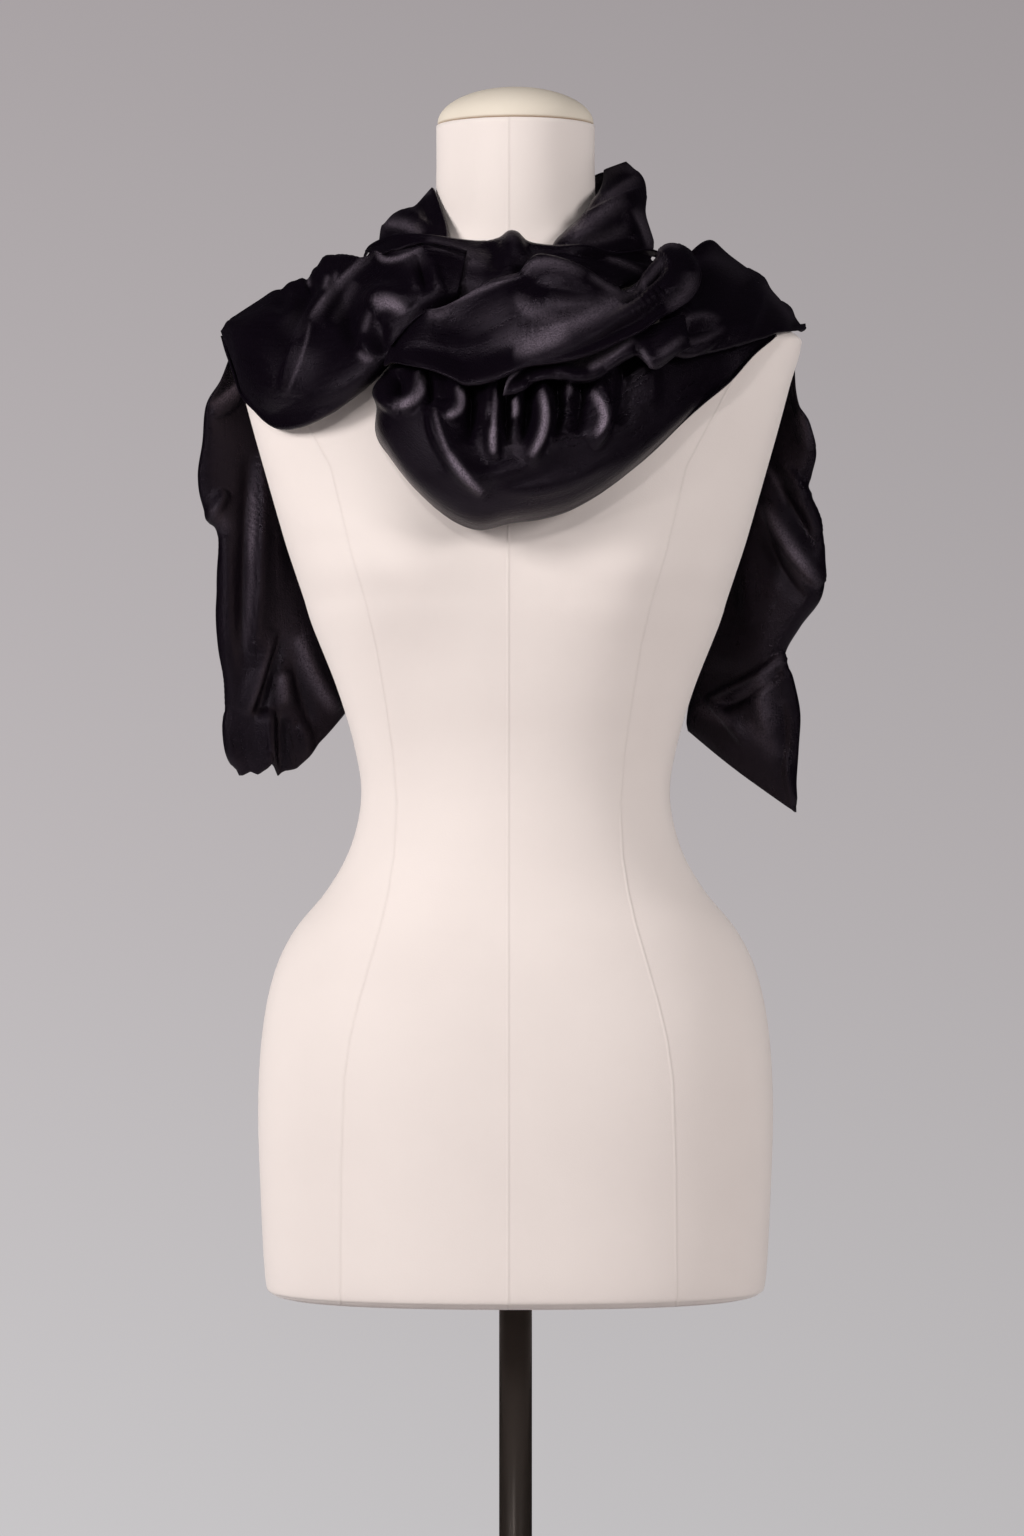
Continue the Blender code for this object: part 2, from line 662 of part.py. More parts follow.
JERSEY = material("jersey", (0.80, 0.74, 0.70), 0.85)
CAP_COVER = material("cap_cover", (0.72, 0.62, 0.52), 0.6)
STEEL = material("dark_steel", (0.045, 0.035, 0.030), 0.35, 0.8)
VELVET = material("black_velvet", (0.012, 0.009, 0.014), 0.45, 0.0, 0.6)

base_profile = (
    (0, BOSS_TOP),
    (BOSS_RADIUS - 6, BOSS_TOP),
    (BOSS_RADIUS - 3, BOSS_TOP - 3),
    (BOSS_RADIUS, BASE_THICK + 1),
    (BASE_RADIUS - 2, BASE_THICK),
    (BASE_RADIUS, BASE_THICK - 2),
    (BASE_RADIUS, 2),
    (BASE_RADIUS - 2, 0),
    (0, 0),
)
turned_piece("base", base_profile, 36, STEEL)
rod_between("pole", POLE_RADIUS, BOSS_TOP + GAP, FORM_BOTTOM - GAP, 20, STEEL)
closed_loft("dress_form", [form_ring(row) for row in FORM_RINGS], JERSEY)
cap_radius = NECK_RADIUS - 1
cap_bottom = FORM_TOP + GAP
cap_profile = [(0, CAP_TOP)]
for slope in (78, 64, 50, 36, 20, 8, 0):
    angle = math.radians(slope)
    cap_profile.append((cap_radius * math.cos(angle), cap_bottom + (CAP_TOP - cap_bottom) * math.sin(angle)))
cap_profile.append((0, cap_bottom))
turned_piece("neck_cap", cap_profile, 24, CAP_COVER)

round_neck = from_line((0, 0, 1300), (0, 0, 1480))
over_left = from_line((-60, 10, 1330), (-185, 10, 1285))
over_right = from_line((60, 10, 1330), (185, 10, 1285))

back_points, back_share = back_grid(COLLAR_BACK, 16, 6)
add_sheet("collar_back", laid(back_points[::-1], back_share, round_neck))
add_stretch("collar_left", COLLAR_LEFT, (), (9, 6), (0, 10), round_neck)
add_stretch("collar_right", COLLAR_RIGHT, COLLAR_RIGHT_FOLDS, (11, 8), (0, 16), round_neck)
add_stretch("neck_front", NECK_FRONT, NECK_FOLDS, (24, 7), (0, 12), round_neck)
add_stretch("front_cowl", FRONT_COWL, COWL_FOLDS, (34, 12), (12, 0), to_eye, 0.7)
add_stretch("right_shoulder", RIGHT_SHOULDER, SHOULDER_RIGHT_FOLDS, (13, 9), (8, 62), over_right, 1.0, 0.9)
add_stretch("ruffle", RUFFLE, (), (20, 4), (2, 0), to_eye)
add_stretch("front_swag", FRONT_SWAG, SWAG_FOLDS, (32, 10), (6, 8), to_eye)
add_stretch("left_shoulder", LEFT_SHOULDER, LEFT_SHOULDER_FOLDS, (20, 11), (8, 62), over_left, 1.0, 0.9)
add_stretch("left_tail", LEFT_TAIL, LEFT_TAIL_FOLDS, (18, 9), (8, 8), from_eye)
add_stretch("right_tail", RIGHT_TAIL, RIGHT_TAIL_FOLDS, (20, 9), (8, 8), from_eye)
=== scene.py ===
import math

import bpy
import numpy as np
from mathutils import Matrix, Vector
from mathutils.bvhtree import BVHTree


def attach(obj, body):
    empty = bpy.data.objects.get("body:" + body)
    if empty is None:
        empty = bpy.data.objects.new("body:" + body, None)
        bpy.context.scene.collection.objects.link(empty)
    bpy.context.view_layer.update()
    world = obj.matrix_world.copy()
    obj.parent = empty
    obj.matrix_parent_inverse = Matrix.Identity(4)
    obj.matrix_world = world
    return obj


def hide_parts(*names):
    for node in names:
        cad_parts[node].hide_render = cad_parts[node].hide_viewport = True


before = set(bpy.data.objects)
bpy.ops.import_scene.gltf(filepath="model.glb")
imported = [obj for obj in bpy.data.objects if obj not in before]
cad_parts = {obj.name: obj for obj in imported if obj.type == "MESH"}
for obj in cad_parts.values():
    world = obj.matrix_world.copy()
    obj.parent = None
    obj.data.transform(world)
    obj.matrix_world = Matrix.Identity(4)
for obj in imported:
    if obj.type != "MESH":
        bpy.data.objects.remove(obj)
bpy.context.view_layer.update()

scene = bpy.context.scene


# Viewpoint.
# The whole form and scarf seen level from the front, from a stand a little under four metres away with a long lens.
# Sizes in this file are in millimetres and MM turns them into the scene's metres.
MM = 0.001
EYE = np.array((-2.5, -3650.0, 1024.0))
camera_data = bpy.data.cameras.new("front_view")
camera_data.lens = 122.2
camera_data.sensor_width = 36.0
camera = bpy.data.objects.new("front_view", camera_data)
camera.location = Vector(EYE * MM)
camera.rotation_euler = (math.pi / 2, 0.0, 0.0)
scene.collection.objects.link(camera)
scene.camera = camera
scene.view_settings.view_transform = "Standard"


# Dress form.
# A padded limbless torso with a long neck, covered in off-white stretch jersey. The cover is cut in long panels,
# which meet in a centre seam, two curved seams over the bust and their like on the back.
# Columns: z, half width, reach to the front, reach to the back, squareness.
FORM_RINGS = (
    (655, 162, 100, 106, 2.3),
    (658, 171, 108, 114, 2.3),
    (668, 175, 112, 118, 2.3),
    (720, 178, 114, 121, 2.3),
    (787, 180, 116, 123, 2.3),
    (840, 177, 114, 121, 2.3),
    (880, 169, 109, 114, 2.2),
    (910, 155, 103, 104, 2.2),
    (940, 131, 96, 92, 2.1),
    (970, 115, 90, 80, 2.1),
    (1005, 108, 87, 74, 2.1),
    (1040, 113, 90, 74, 2.1),
    (1080, 125, 98, 77, 2.2),
    (1123, 142, 106, 80, 2.2),
    (1142, 148, 108, 82, 2.2),
    (1160, 154, 109, 83, 2.3),
    (1178, 160, 109, 85, 2.3),
    (1195, 165, 108, 86, 2.4),
    (1230, 175, 104, 88, 2.5),
    (1262, 184, 98, 88, 2.7),
    (1292, 192, 90, 85, 2.9),
    (1316, 199, 80, 80, 3.0),
    (1326, 196, 75, 77, 2.9),
    (1342, 164, 69, 72, 2.6),
    (1360, 128, 64, 67, 2.4),
    (1378, 92, 59, 62, 2.2),
    (1392, 66, 57, 58, 2.0),
    (1408, 57, 56, 56, 2.0),
    (1440, 55.5, 55.5, 55.5, 2.0),
    (1473, 55.5, 55.5, 55.5, 2.0),
)
BUST = {"height": 18.0, "x": 92.0, "z": 1163.0, "spread": 50.0}
# Columns: z, distance of the seam from the centre seam in front, and at the back.
SEAM_SHIFT = 5.0
PANEL_SEAM = (
    (655, 115, 96),
    (753, 114, 95),
    (812, 112, 92),
    (840, 108, 88),
    (865, 102, 83),
    (893, 94, 76),
    (917, 87, 70),
    (940, 82, 65),
    (963, 78.5, 61),
    (1000, 77, 58),
    (1036, 80, 60),
    (1068, 84.5, 62),
    (1106, 90.5, 66),
    (1135, 97, 70),
    (1170, 107, 76),
    (1230, 122, 88),
    (1320, 170, 120),
    (1473, 200, 170),
)


def between_rows(rows, places):
    """Catmull-Rom curve through the rows, read at places that count rows from 0."""
    rows = np.array(rows, float)
    padded = np.vstack([2 * rows[0] - rows[1], rows, 2 * rows[-1] - rows[-2]])
    first = np.clip(places.astype(int), 0, len(rows) - 2)
    f = (places - first)[:, None]
    p0, p1, p2, p3 = (padded[first + k] for k in range(4))
    bend = (2 * p0 - 5 * p1 + 4 * p2 - p3) * f**2 + (3 * p1 - p0 - 3 * p2 + p3) * f**3
    return 0.5 * (2 * p1 + (p2 - p0) * f + bend)


def grid_quads(along, across, closed=False):
    """The corner numbers of a grid's quads. A closed grid joins its last column to its first."""
    index = np.arange(along * across).reshape(along, across)
    if closed:
        index = np.concatenate([index, index[:, :1]], axis=1)
    corners = (index[:-1, :-1], index[1:, :-1], index[1:, 1:], index[:-1, 1:])
    return np.stack(corners, axis=-1).reshape(-1, 4)


def mesh_piece(name, points, quads, caps=()):
    """A smooth mesh object from points in millimetres, its quads and any many-sided caps."""
    mesh = bpy.data.meshes.new(name)
    mesh.from_pydata((points.reshape(-1, 3) * MM).tolist(), [], quads.tolist() + [list(cap) for cap in caps])
    mesh.polygons.foreach_set("use_smooth", np.ones(len(mesh.polygons), bool))
    mesh.update()
    piece = bpy.data.objects.new(name, mesh)
    scene.collection.objects.link(piece)
    return piece


def form_surface(rows, around):
    """x = w |cos|^(2/p), y = d |sin|^(2/p) with their signs, less a bust of height exp(-(dx/s)^2 - (dz/s)^2)."""
    z, half_width, front, back, squareness = (rows[:, column][:, None] for column in range(5))
    angle = np.linspace(0, 2 * math.pi, around, endpoint=False)[None, :]
    cosine = np.cos(angle)
    sine = np.sin(angle)
    x = half_width * np.sign(cosine) * np.abs(cosine) ** (2 / squareness)
    y = np.where(sine > 0, back, front) * np.sign(sine) * np.abs(sine) ** (2 / squareness)
    across = (np.abs(x) - BUST["x"]) / BUST["spread"]
    up = (z - BUST["z"]) / BUST["spread"]
    y = y - BUST["height"] * np.clip(-sine, 0, 1) * np.exp(-(across**2) - up**2)
    return np.stack([x, y, z + 0 * x], axis=-1)


def add_numbers(piece, name, values):
    """Keeps one number for each point of a piece, for its material to read."""
    layer = piece.data.attributes.new(name, "FLOAT", "POINT")
    layer.data.foreach_set("value", values.ravel().astype(np.float32))


form_rows = between_rows(FORM_RINGS, np.linspace(0, len(FORM_RINGS) - 1, 300))
form_points = form_surface(form_rows, 240)
around = form_points.shape[1]
last_ring = (form_points.shape[0] - 1) * around
form_caps = (range(around - 1, -1, -1), range(last_ring, last_ring + around))
dress_form = mesh_piece("dress_form_cover", form_points, grid_quads(*form_points.shape[:2], closed=True)[:, ::-1],
                        form_caps)
seam_rows = np.array(PANEL_SEAM, float)
heights = form_points[..., 2]
seam_x = np.where(
    form_points[..., 1] < 0,
    np.interp(heights, seam_rows[:, 0], seam_rows[:, 1]),
    np.interp(heights, seam_rows[:, 0], seam_rows[:, 2]),
)
add_numbers(dress_form, "centre_seam", form_points[..., 0] + SEAM_SHIFT)
add_numbers(dress_form, "panel_seam", np.abs(form_points[..., 0] + SEAM_SHIFT) - seam_x)


def shader_of(look):
    look.use_nodes = True
    return look.node_tree.nodes["Principled BSDF"]


def node(tree, kind, settings=None, **inputs):
    """Adds a shader node, sets its options and its inputs, and links an input that is given as a socket."""
    made = tree.nodes.new(kind)
    for option, value in (settings or {}).items():
        setattr(made, option, value)
    for key, value in inputs.items():
        numbered = key[0] == "i" and key[1:].isdigit()
        socket = made.inputs[int(key[1:]) if numbered else key.replace("_", " ")]
        if isinstance(value, bpy.types.NodeSocket):
            tree.links.new(value, socket)
        else:
            socket.default_value = value
    return made


def maths(tree, operation, first, second=0.0, third=0.0):
    """One sum on numbers or sockets. A third input only matters to the operations that have one."""
    return node(tree, "ShaderNodeMath", {"operation": operation}, i0=first, i1=second, i2=third).outputs[0]


def new_group(name, inputs, outputs):
    """An empty node group with named number inputs and outputs, and its two end nodes."""
    group = bpy.data.node_groups.new(name, "ShaderNodeTree")
    for label, start in inputs:
        group.interface.new_socket(label, in_out="INPUT", socket_type="NodeSocketFloat").default_value = start
    for label in outputs:
        group.interface.new_socket(label, in_out="OUTPUT", socket_type="NodeSocketFloat")
    return group, group.nodes.new("NodeGroupInput"), group.nodes.new("NodeGroupOutput")


# Fine vertical ribs of knitted jersey with an uneven yarn, and faint cloudy soiling.
knit, knit_in, knit_out = new_group("jersey_knit", [("Rib", 1.1), ("Cloud", 14.0)], ["Height", "Shade"])
place = knit.nodes.new("ShaderNodeTexCoord").outputs["Object"]
rib_scale = maths(knit, "DIVIDE", 1000.0, knit_in.outputs["Rib"])
yarn = node(knit, "ShaderNodeTexNoise", Vector=place, Scale=900.0, Detail=2.0)
ribs = node(knit, "ShaderNodeTexVoronoi", Vector=place, Scale=rib_scale)
cloud = node(knit, "ShaderNodeTexNoise", Vector=place, Scale=knit_in.outputs["Cloud"], Detail=3.0)
height = maths(knit, "ADD", maths(knit, "MULTIPLY", ribs.outputs["Distance"], 0.6), yarn.outputs["Fac"])
knit.links.new(height, knit_out.inputs["Height"])
knit.links.new(cloud.outputs["Fac"], knit_out.inputs["Shade"])

jersey = bpy.data.materials.new("jersey")
tree_shader = shader_of(jersey)
tree = jersey.node_tree
SEAM_WIDTH = 0.9
knit_node = node(tree, "ShaderNodeGroup", {"node_tree": knit})
seam_marks = []
for label in ("centre_seam", "panel_seam"):
    distance = node(tree, "ShaderNodeAttribute", {"attribute_name": label}).outputs["Fac"]
    closeness = maths(tree, "DIVIDE", maths(tree, "ABSOLUTE", distance), SEAM_WIDTH)
    seam_marks.append(maths(tree, "EXPONENT", maths(tree, "MULTIPLY", maths(tree, "POWER", closeness, 2.0), -1.0)))
seams = maths(tree, "MAXIMUM", *seam_marks)
shade = node(
    tree, "ShaderNodeMix", {"data_type": "RGBA"},
    i0=knit_node.outputs["Shade"], i6=(0.80, 0.700, 0.655, 1.0), i7=(0.85, 0.748, 0.700, 1.0),
)
cover = node(
    tree, "ShaderNodeMix", {"data_type": "RGBA"},
    i0=maths(tree, "MULTIPLY", seams, 0.22), i6=shade.outputs[2], i7=(0.62, 0.53, 0.49, 1.0),
)
tree.links.new(cover.outputs[2], tree_shader.inputs["Base Color"])
relief = maths(tree, "ADD", maths(tree, "MULTIPLY", knit_node.outputs["Height"], 0.12), seams)
bump = node(tree, "ShaderNodeBump", Strength=0.5, Distance=0.0006, Height=relief)
tree.links.new(bump.outputs["Normal"], tree_shader.inputs["Normal"])
tree_shader.inputs["Roughness"].default_value = 0.85
tree_shader.inputs["Sheen Weight"].default_value = 0.25
tree_shader.inputs["Sheen Roughness"].default_value = 0.5
tree_shader.inputs["Specular IOR Level"].default_value = 0.3
dress_form.data.materials.append(jersey)
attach(dress_form, "root")
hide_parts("dress_form")


# Neck cap.
# A shallow domed lid on the neck, covered in a yellower cloth that is turned in under its rim, so that a fine
# brown line shows where it sits on the neck.
CAP = {"radius": 54.6, "bottom": 1473.3, "top": 1500.0, "rim": 1.6}


def turned_surface(profile, around):
    """Radius and height pairs carried round the upright axis: x = r cos a, y = r sin a, z = h."""
    profile = np.array(profile, float)
    angle = np.linspace(0, 2 * math.pi, around, endpoint=False)[None, :]
    radius = profile[:, :1]
    return np.stack([radius * np.cos(angle), radius * np.sin(angle), profile[:, 1:] + 0 * angle], axis=-1)


def turned_piece(name, profile, around):
    """A closed turned piece from a profile that runs from the bottom to the top."""
    points = turned_surface(profile, around)
    last = (len(profile) - 1) * around
    caps = (range(around - 1, -1, -1), range(last, last + around))
    return mesh_piece(name, points, grid_quads(len(profile), around, closed=True)[:, ::-1], caps)


slope = np.linspace(0, math.pi / 2 - 0.02, 26)
cap_radius = CAP["radius"] * np.cos(slope)
cap_height = CAP["bottom"] + CAP["rim"] + (CAP["top"] - CAP["bottom"] - CAP["rim"]) * np.sin(slope)
cap_profile = [(CAP["radius"] - 1.2, CAP["bottom"]), (CAP["radius"] - 0.3, CAP["bottom"] + 0.5)]
cap_profile += list(zip(cap_radius, cap_height))
neck_cap = turned_piece("neck_cap_cover", cap_profile, 96)
cap_cover = bpy.data.materials.new("cap_cover")
cap_shader = shader_of(cap_cover)
tree = cap_cover.node_tree
weave = node(tree, "ShaderNodeGroup", {"node_tree": knit}, Rib=0.8, Cloud=25.0)
up = node(tree, "ShaderNodeSeparateXYZ", Vector=node(tree, "ShaderNodeTexCoord").outputs["Object"]).outputs["Z"]
rim_mark = node(tree, "ShaderNodeMapRange", {"clamp": True}, i0=up, i1=1.4733, i2=1.4752, i3=1.0, i4=0.0).outputs[0]
cloth_shade = node(
    tree, "ShaderNodeMix", {"data_type": "RGBA"},
    i0=weave.outputs["Shade"], i6=(0.74, 0.64, 0.53, 1.0), i7=(0.80, 0.71, 0.60, 1.0),
)
cap_colour = node(
    tree, "ShaderNodeMix", {"data_type": "RGBA"}, i0=rim_mark, i6=cloth_shade.outputs[2], i7=(0.30, 0.20, 0.12, 1.0),
)
tree.links.new(cap_colour.outputs[2], cap_shader.inputs["Base Color"])
bump = node(tree, "ShaderNodeBump", Strength=0.3, Distance=0.0004, Height=weave.outputs["Height"])
tree.links.new(bump.outputs["Normal"], cap_shader.inputs["Normal"])
cap_shader.inputs["Roughness"].default_value = 0.6
neck_cap.data.materials.append(cap_cover)
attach(neck_cap, "root")
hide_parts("neck_cap")


# Pole and base.
# A dark bronze-painted steel tube that runs up into the form, and a plain round plate with a boss to stand on.
BOSS_TOP = 34.0
pole = turned_piece("pole_tube", [(11.5, BOSS_TOP + 0.3), (11.5, 340.0), (11.5, 654.7)], 64)
base_profile = (
    (176, 0), (179, 0.6), (180, 2), (180, 6), (179, 7.4), (176, 8), (60, 8.4),
    (34, 9), (32.3, 10), (32, 12), (30, 28), (28.5, 31.5), (26, BOSS_TOP), (13, BOSS_TOP),
)
base = turned_piece("base_plate", base_profile, 128)
dark_steel = bpy.data.materials.new("dark_steel")
steel_shader = shader_of(dark_steel)
tree = dark_steel.node_tree
place = node(tree, "ShaderNodeTexCoord").outputs["Object"]
drawn = node(tree, "ShaderNodeMapping", Vector=place, Scale=(220.0, 220.0, 4.0)).outputs[0]
streaks = node(tree, "ShaderNodeTexNoise", Vector=drawn, Scale=1.0, Detail=3.0).outputs["Fac"]
patches = node(tree, "ShaderNodeTexNoise", Vector=place, Scale=9.0, Detail=4.0).outputs["Fac"]
steel_colour = node(
    tree, "ShaderNodeMix", {"data_type": "RGBA"},
    i0=patches, i6=(0.022, 0.017, 0.015, 1.0), i7=(0.060, 0.046, 0.038, 1.0),
)
tree.links.new(steel_colour.outputs[2], steel_shader.inputs["Base Color"])
rough = node(tree, "ShaderNodeMapRange", i0=streaks, i1=0.3, i2=0.7, i3=0.32, i4=0.5).outputs[0]
tree.links.new(rough, steel_shader.inputs["Roughness"])
steel_shader.inputs["Metallic"].default_value = 0.6
for piece, cad_node in ((pole, "pole"), (base, "base")):
    piece.data.materials.append(dark_steel)
    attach(piece, "root")
    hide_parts(cad_node)


# Velvet.
# Black silk-like velvet with a violet cast. Its short pile soaks up light, and where it is bent over a fold it
# throws back a soft grainy gleam. The pile is stroked along the strip, which leaves faint streaks in the gleam.
# The lamps alone don't set the gleams where the photo has them, so listed curves also lighten the base colour there
# into painted highlights. They are stated stretch by stretch as a value on each point, and don't move with the light
# or the view.
nap, nap_in, nap_out = new_group("velvet_nap", [("Grain", 1.1), ("Crush", 60.0)], ["Height", "Lay", "Speck"])
place = nap.nodes.new("ShaderNodeTexCoord").outputs["Object"]
grain_scale = maths(nap, "DIVIDE", 1000.0, nap_in.outputs["Grain"])
grain = node(nap, "ShaderNodeTexNoise", Vector=place, Scale=grain_scale, Detail=2.0, Roughness=0.6)
lay_scale = maths(nap, "DIVIDE", 1000.0, nap_in.outputs["Crush"])
lay = node(nap, "ShaderNodeTexNoise", Vector=place, Scale=lay_scale, Detail=4.0, Roughness=0.55, Distortion=0.6)
strip = node(nap, "ShaderNodeUVMap", {"uv_map": "strip"}).outputs["UV"]
stroked = node(nap, "ShaderNodeMapping", Vector=strip, Scale=(28.0, 330.0, 1.0)).outputs[0]
streaks = node(nap, "ShaderNodeTexNoise", Vector=stroked, Scale=1.0, Detail=3.0, Roughness=0.6, Distortion=0.4)
pile_height = maths(nap, "MULTIPLY_ADD", streaks.outputs["Fac"], 0.8, grain.outputs["Fac"])
stroke = maths(nap, "MULTIPLY_ADD", streaks.outputs["Fac"], 0.5, maths(nap, "MULTIPLY", lay.outputs["Fac"], 0.5))
nap.links.new(pile_height, nap_out.inputs["Height"])
nap.links.new(stroke, nap_out.inputs["Lay"])
nap.links.new(grain.outputs["Fac"], nap_out.inputs["Speck"])

velvet = bpy.data.materials.new("black_velvet")
velvet_shader = shader_of(velvet)
tree = velvet.node_tree
nap_node = node(tree, "ShaderNodeGroup", {"node_tree": nap})
depth = node(
    tree, "ShaderNodeMix", {"data_type": "RGBA"},
    i0=nap_node.outputs["Lay"], i6=(0.0014, 0.0008, 0.0017, 1.0), i7=(0.0042, 0.0024, 0.0050, 1.0),
)
# Painted highlight: the base colour is lightened towards a violet grey along each stretch's marks, broken by the
# pile's grain.
painted_gleam = node(tree, "ShaderNodeAttribute", {"attribute_name": "painted_gleam"}).outputs["Fac"]
tips = node(tree, "ShaderNodeMapRange", i0=nap_node.outputs["Speck"], i1=0.35, i2=0.65, i3=0.4, i4=1.2).outputs[0]
shine = node(
    tree, "ShaderNodeMix", {"data_type": "RGBA"},
    i0=maths(tree, "MULTIPLY", painted_gleam, tips), i6=depth.outputs[2], i7=(0.185, 0.147, 0.182, 1.0),
)
tree.links.new(shine.outputs[2], velvet_shader.inputs["Base Color"])
soft = node(tree, "ShaderNodeMapRange", i0=nap_node.outputs["Lay"], i1=0.35, i2=0.65, i3=0.25, i4=0.40).outputs[0]
speckled = maths(tree, "MULTIPLY_ADD", nap_node.outputs["Speck"], 0.14, maths(tree, "SUBTRACT", soft, 0.07))
tree.links.new(speckled, velvet_shader.inputs["Roughness"])
bump = node(tree, "ShaderNodeBump", Strength=0.8, Distance=0.0005, Height=nap_node.outputs["Height"])
tree.links.new(bump.outputs["Normal"], velvet_shader.inputs["Normal"])
velvet_shader.inputs["IOR"].default_value = 1.36
velvet_shader.inputs["Specular IOR Level"].default_value = 0.5
velvet_shader.inputs["Specular Tint"].default_value = (1.0, 0.82, 1.0, 1.0)
velvet_shader.inputs["Sheen Weight"].default_value = 0.012
velvet_shader.inputs["Sheen Roughness"].default_value = 0.35
velvet_shader.inputs["Sheen Tint"].default_value = (0.85, 0.66, 0.95, 1.0)

# How the strip is made and wound. Each stretch is a row of sections from edge a to edge b, as the front view shows
# them in the upright plane through the form's axis, with y as the depth. Between the edges it bellies forward.
# Columns of sections: x, z, y of edge a, x, z, y of edge b, belly, sag, and share of the turned edge if it varies.
# Columns of folds and of marks, the painted highlights: x, z of the start, the middle and the end, height or strength,
# width left, right.
# A sheet's last section needs edges with different x, because the hem is stated by shares of that width.
WALL = 1.3
CLEAR = 0.9
REACH = 180.0
TURN_STEPS = 7
CURVE_PLACES = 33
COVER = (20, 8)
WAVES = ((64, 2.2, 0), (26, 0.5, 50))


def in_space(seen):
    """From the front view's x, z and the depth y to the place in space, for a viewer at EYE."""
    scale = (seen[..., 1:2] - EYE[1]) / -EYE[1]
    placed = EYE + (seen - EYE) * scale
    placed[..., 1] = seen[..., 1]
    return placed


def seen_from_front(points):
    """The way back from in_space."""
    scale = (points[..., 1:2] - EYE[1]) / -EYE[1]
    seen = EYE + (points - EYE) / scale
    seen[..., 1] = points[..., 1]
    return seen


def even_rows(rows, count):
    """The rows' smooth curve read at count steps of equal length along the sections' middles."""
    fine = np.linspace(0, len(rows) - 1, 40 * len(rows))
    path = between_rows(rows, fine)
    middle = (path[:, 0:3] + path[:, 3:6]) / 2
    length = np.concatenate([[0], np.cumsum(np.linalg.norm(np.diff(middle, axis=0), axis=1))])
    return between_rows(rows, np.interp(np.linspace(0, length[-1], count), length, fine))


def draped_surface(sections, size, turns, lean, tuck):
    """t = (1 - cos a) / 2 across, place a + (b - a) t, depth y_a + (y_b - y_a) t - belly sin(pi (a / pi)^lean).

    Each edge then turns back by a quarter round, as deep as its turn and tuck times that inwards.
    """
    along, across = size
    rows = even_rows(sections, along)
    low = rows[:, None, [0, 2, 1]]
    top = rows[:, None, [3, 5, 4]]
    angle = np.linspace(0, math.pi, across)[None, :]
    t = (1 - np.cos(angle)) / 2
    face = low + (top - low) * t[..., None]
    face[..., 1] -= rows[:, None, 6] * np.sin(math.pi * (angle / math.pi) ** lean)
    face[..., 2] -= rows[:, None, 7] * np.sin(math.pi * t)
    width = np.linalg.norm((top - low)[..., [0, 2]], axis=-1, keepdims=True)
    inward = (top - low) / np.maximum(width, 1e-6)
    inward[..., 1] = 0
    step = np.linspace(math.pi / 2, 0, TURN_STEPS, endpoint=False)
    turned = rows[:, None, 8] if rows.shape[1] > 8 else np.ones((along, 1))
    parts = [face]
    for edge, turn, way, order in ((low, turns[0], 1, step), (top, turns[1] * turned, -1, step[::-1])):
        if np.max(turn) > 0:
            reach = np.minimum(tuck * turn, 0.6 * width[..., 0])[..., None]
            back = edge + way * inward * reach * (1 - np.cos(order))[None, :, None]
            back[..., 1] += turn * np.sin(order)
            parts.insert(0 if way > 0 else len(parts), back)
    lead = TURN_STEPS if turns[0] > 0 else 0
    tail = TURN_STEPS if turns[1] > 0 else 0
    on_face = np.concatenate([np.linspace(0.2, 0.9, lead), np.ones(across), np.linspace(0.9, 0.2, tail)])
    return np.concatenate(parts, axis=1), on_face


def grid_normals(points):
    """Unit normals of a grid, on the side that its sections belly to."""
    normal = np.cross(np.gradient(points, axis=0), np.gradient(points, axis=1))
    return normal / np.maximum(np.linalg.norm(normal, axis=-1, keepdims=True), 1e-9)


def fold_relief(seen, folds):
    """Sum of height (1 - |2f - 1|^3) exp(-(d / width)^2) over the folds.

    A fold is a curve from 0 by way of 1 to 2, in the front view. d is the distance to it, f how far along it the
    nearest place is, and the width has its own value to the left and to the right of the way it runs.
    """
    total = np.zeros(seen.shape[:2])
    flat = seen[..., [0, 2]]
    f = np.linspace(0, 1, CURVE_PLACES)[:, None]
    fade = 1 - np.abs(2 * f[:, 0] - 1) ** 3
    for x0, z0, x1, z1, x2, z2, height, left, right in folds:
        start, middle, end = (np.array(place, float) for place in ((x0, z0), (x1, z1), (x2, z2)))
        line = start * (1 - f) * (1 - 2 * f) + middle * 4 * f * (1 - f) + end * f * (2 * f - 1)
        way = np.gradient(line, axis=0)
        step = np.linalg.norm(way, axis=1)
        nearest = np.full(total.shape, 1e9)
        relief = np.zeros(total.shape)
        for place, (run, rise), half, strength in zip(line, way / step[:, None], step / 2, fade):
            off = flat - place
            ahead = np.maximum(np.abs(off[..., 0] * run + off[..., 1] * rise) - half, 0)
            aside = run * off[..., 1] - rise * off[..., 0]
            distance = np.hypot(ahead, aside)
            width = np.where(aside > 0, left, right)
            closer = distance < nearest
            nearest = np.where(closer, distance, nearest)
            relief = np.where(closer, strength * np.exp(-((distance / width) ** 2)), relief)
        total += height * relief
    return total


def unevenness(points, length, seed):
    """A soft wave field: the mean of eight sine waves of about the given length in different directions."""
    random = np.random.default_rng(seed)
    total = np.zeros(points.shape[:2])
    for _ in range(8):
        way = random.normal(size=3)
        way /= np.linalg.norm(way)
        wave = length * random.uniform(0.7, 1.5)
        total += np.sin(points @ way * 2 * math.pi / wave + random.uniform(0, 2 * math.pi))
    return total / 8


def to_eye(points):
    away = EYE - points
    return away / np.linalg.norm(away, axis=-1, keepdims=True)


def from_eye(points):
    return -to_eye(points)


def from_line(start, end):
    """Directions straight out from the nearest place on a line through the form."""
    start = np.array(start, float)
    run = np.array(end, float) - start

    def directions(points):
        share = np.clip(((points - start) @ run) / (run @ run), 0, 1)
        away = points - (start + share[..., None] * run)
        return away / np.maximum(np.linalg.norm(away, axis=-1, keepdims=True), 1e-9)

    return directions


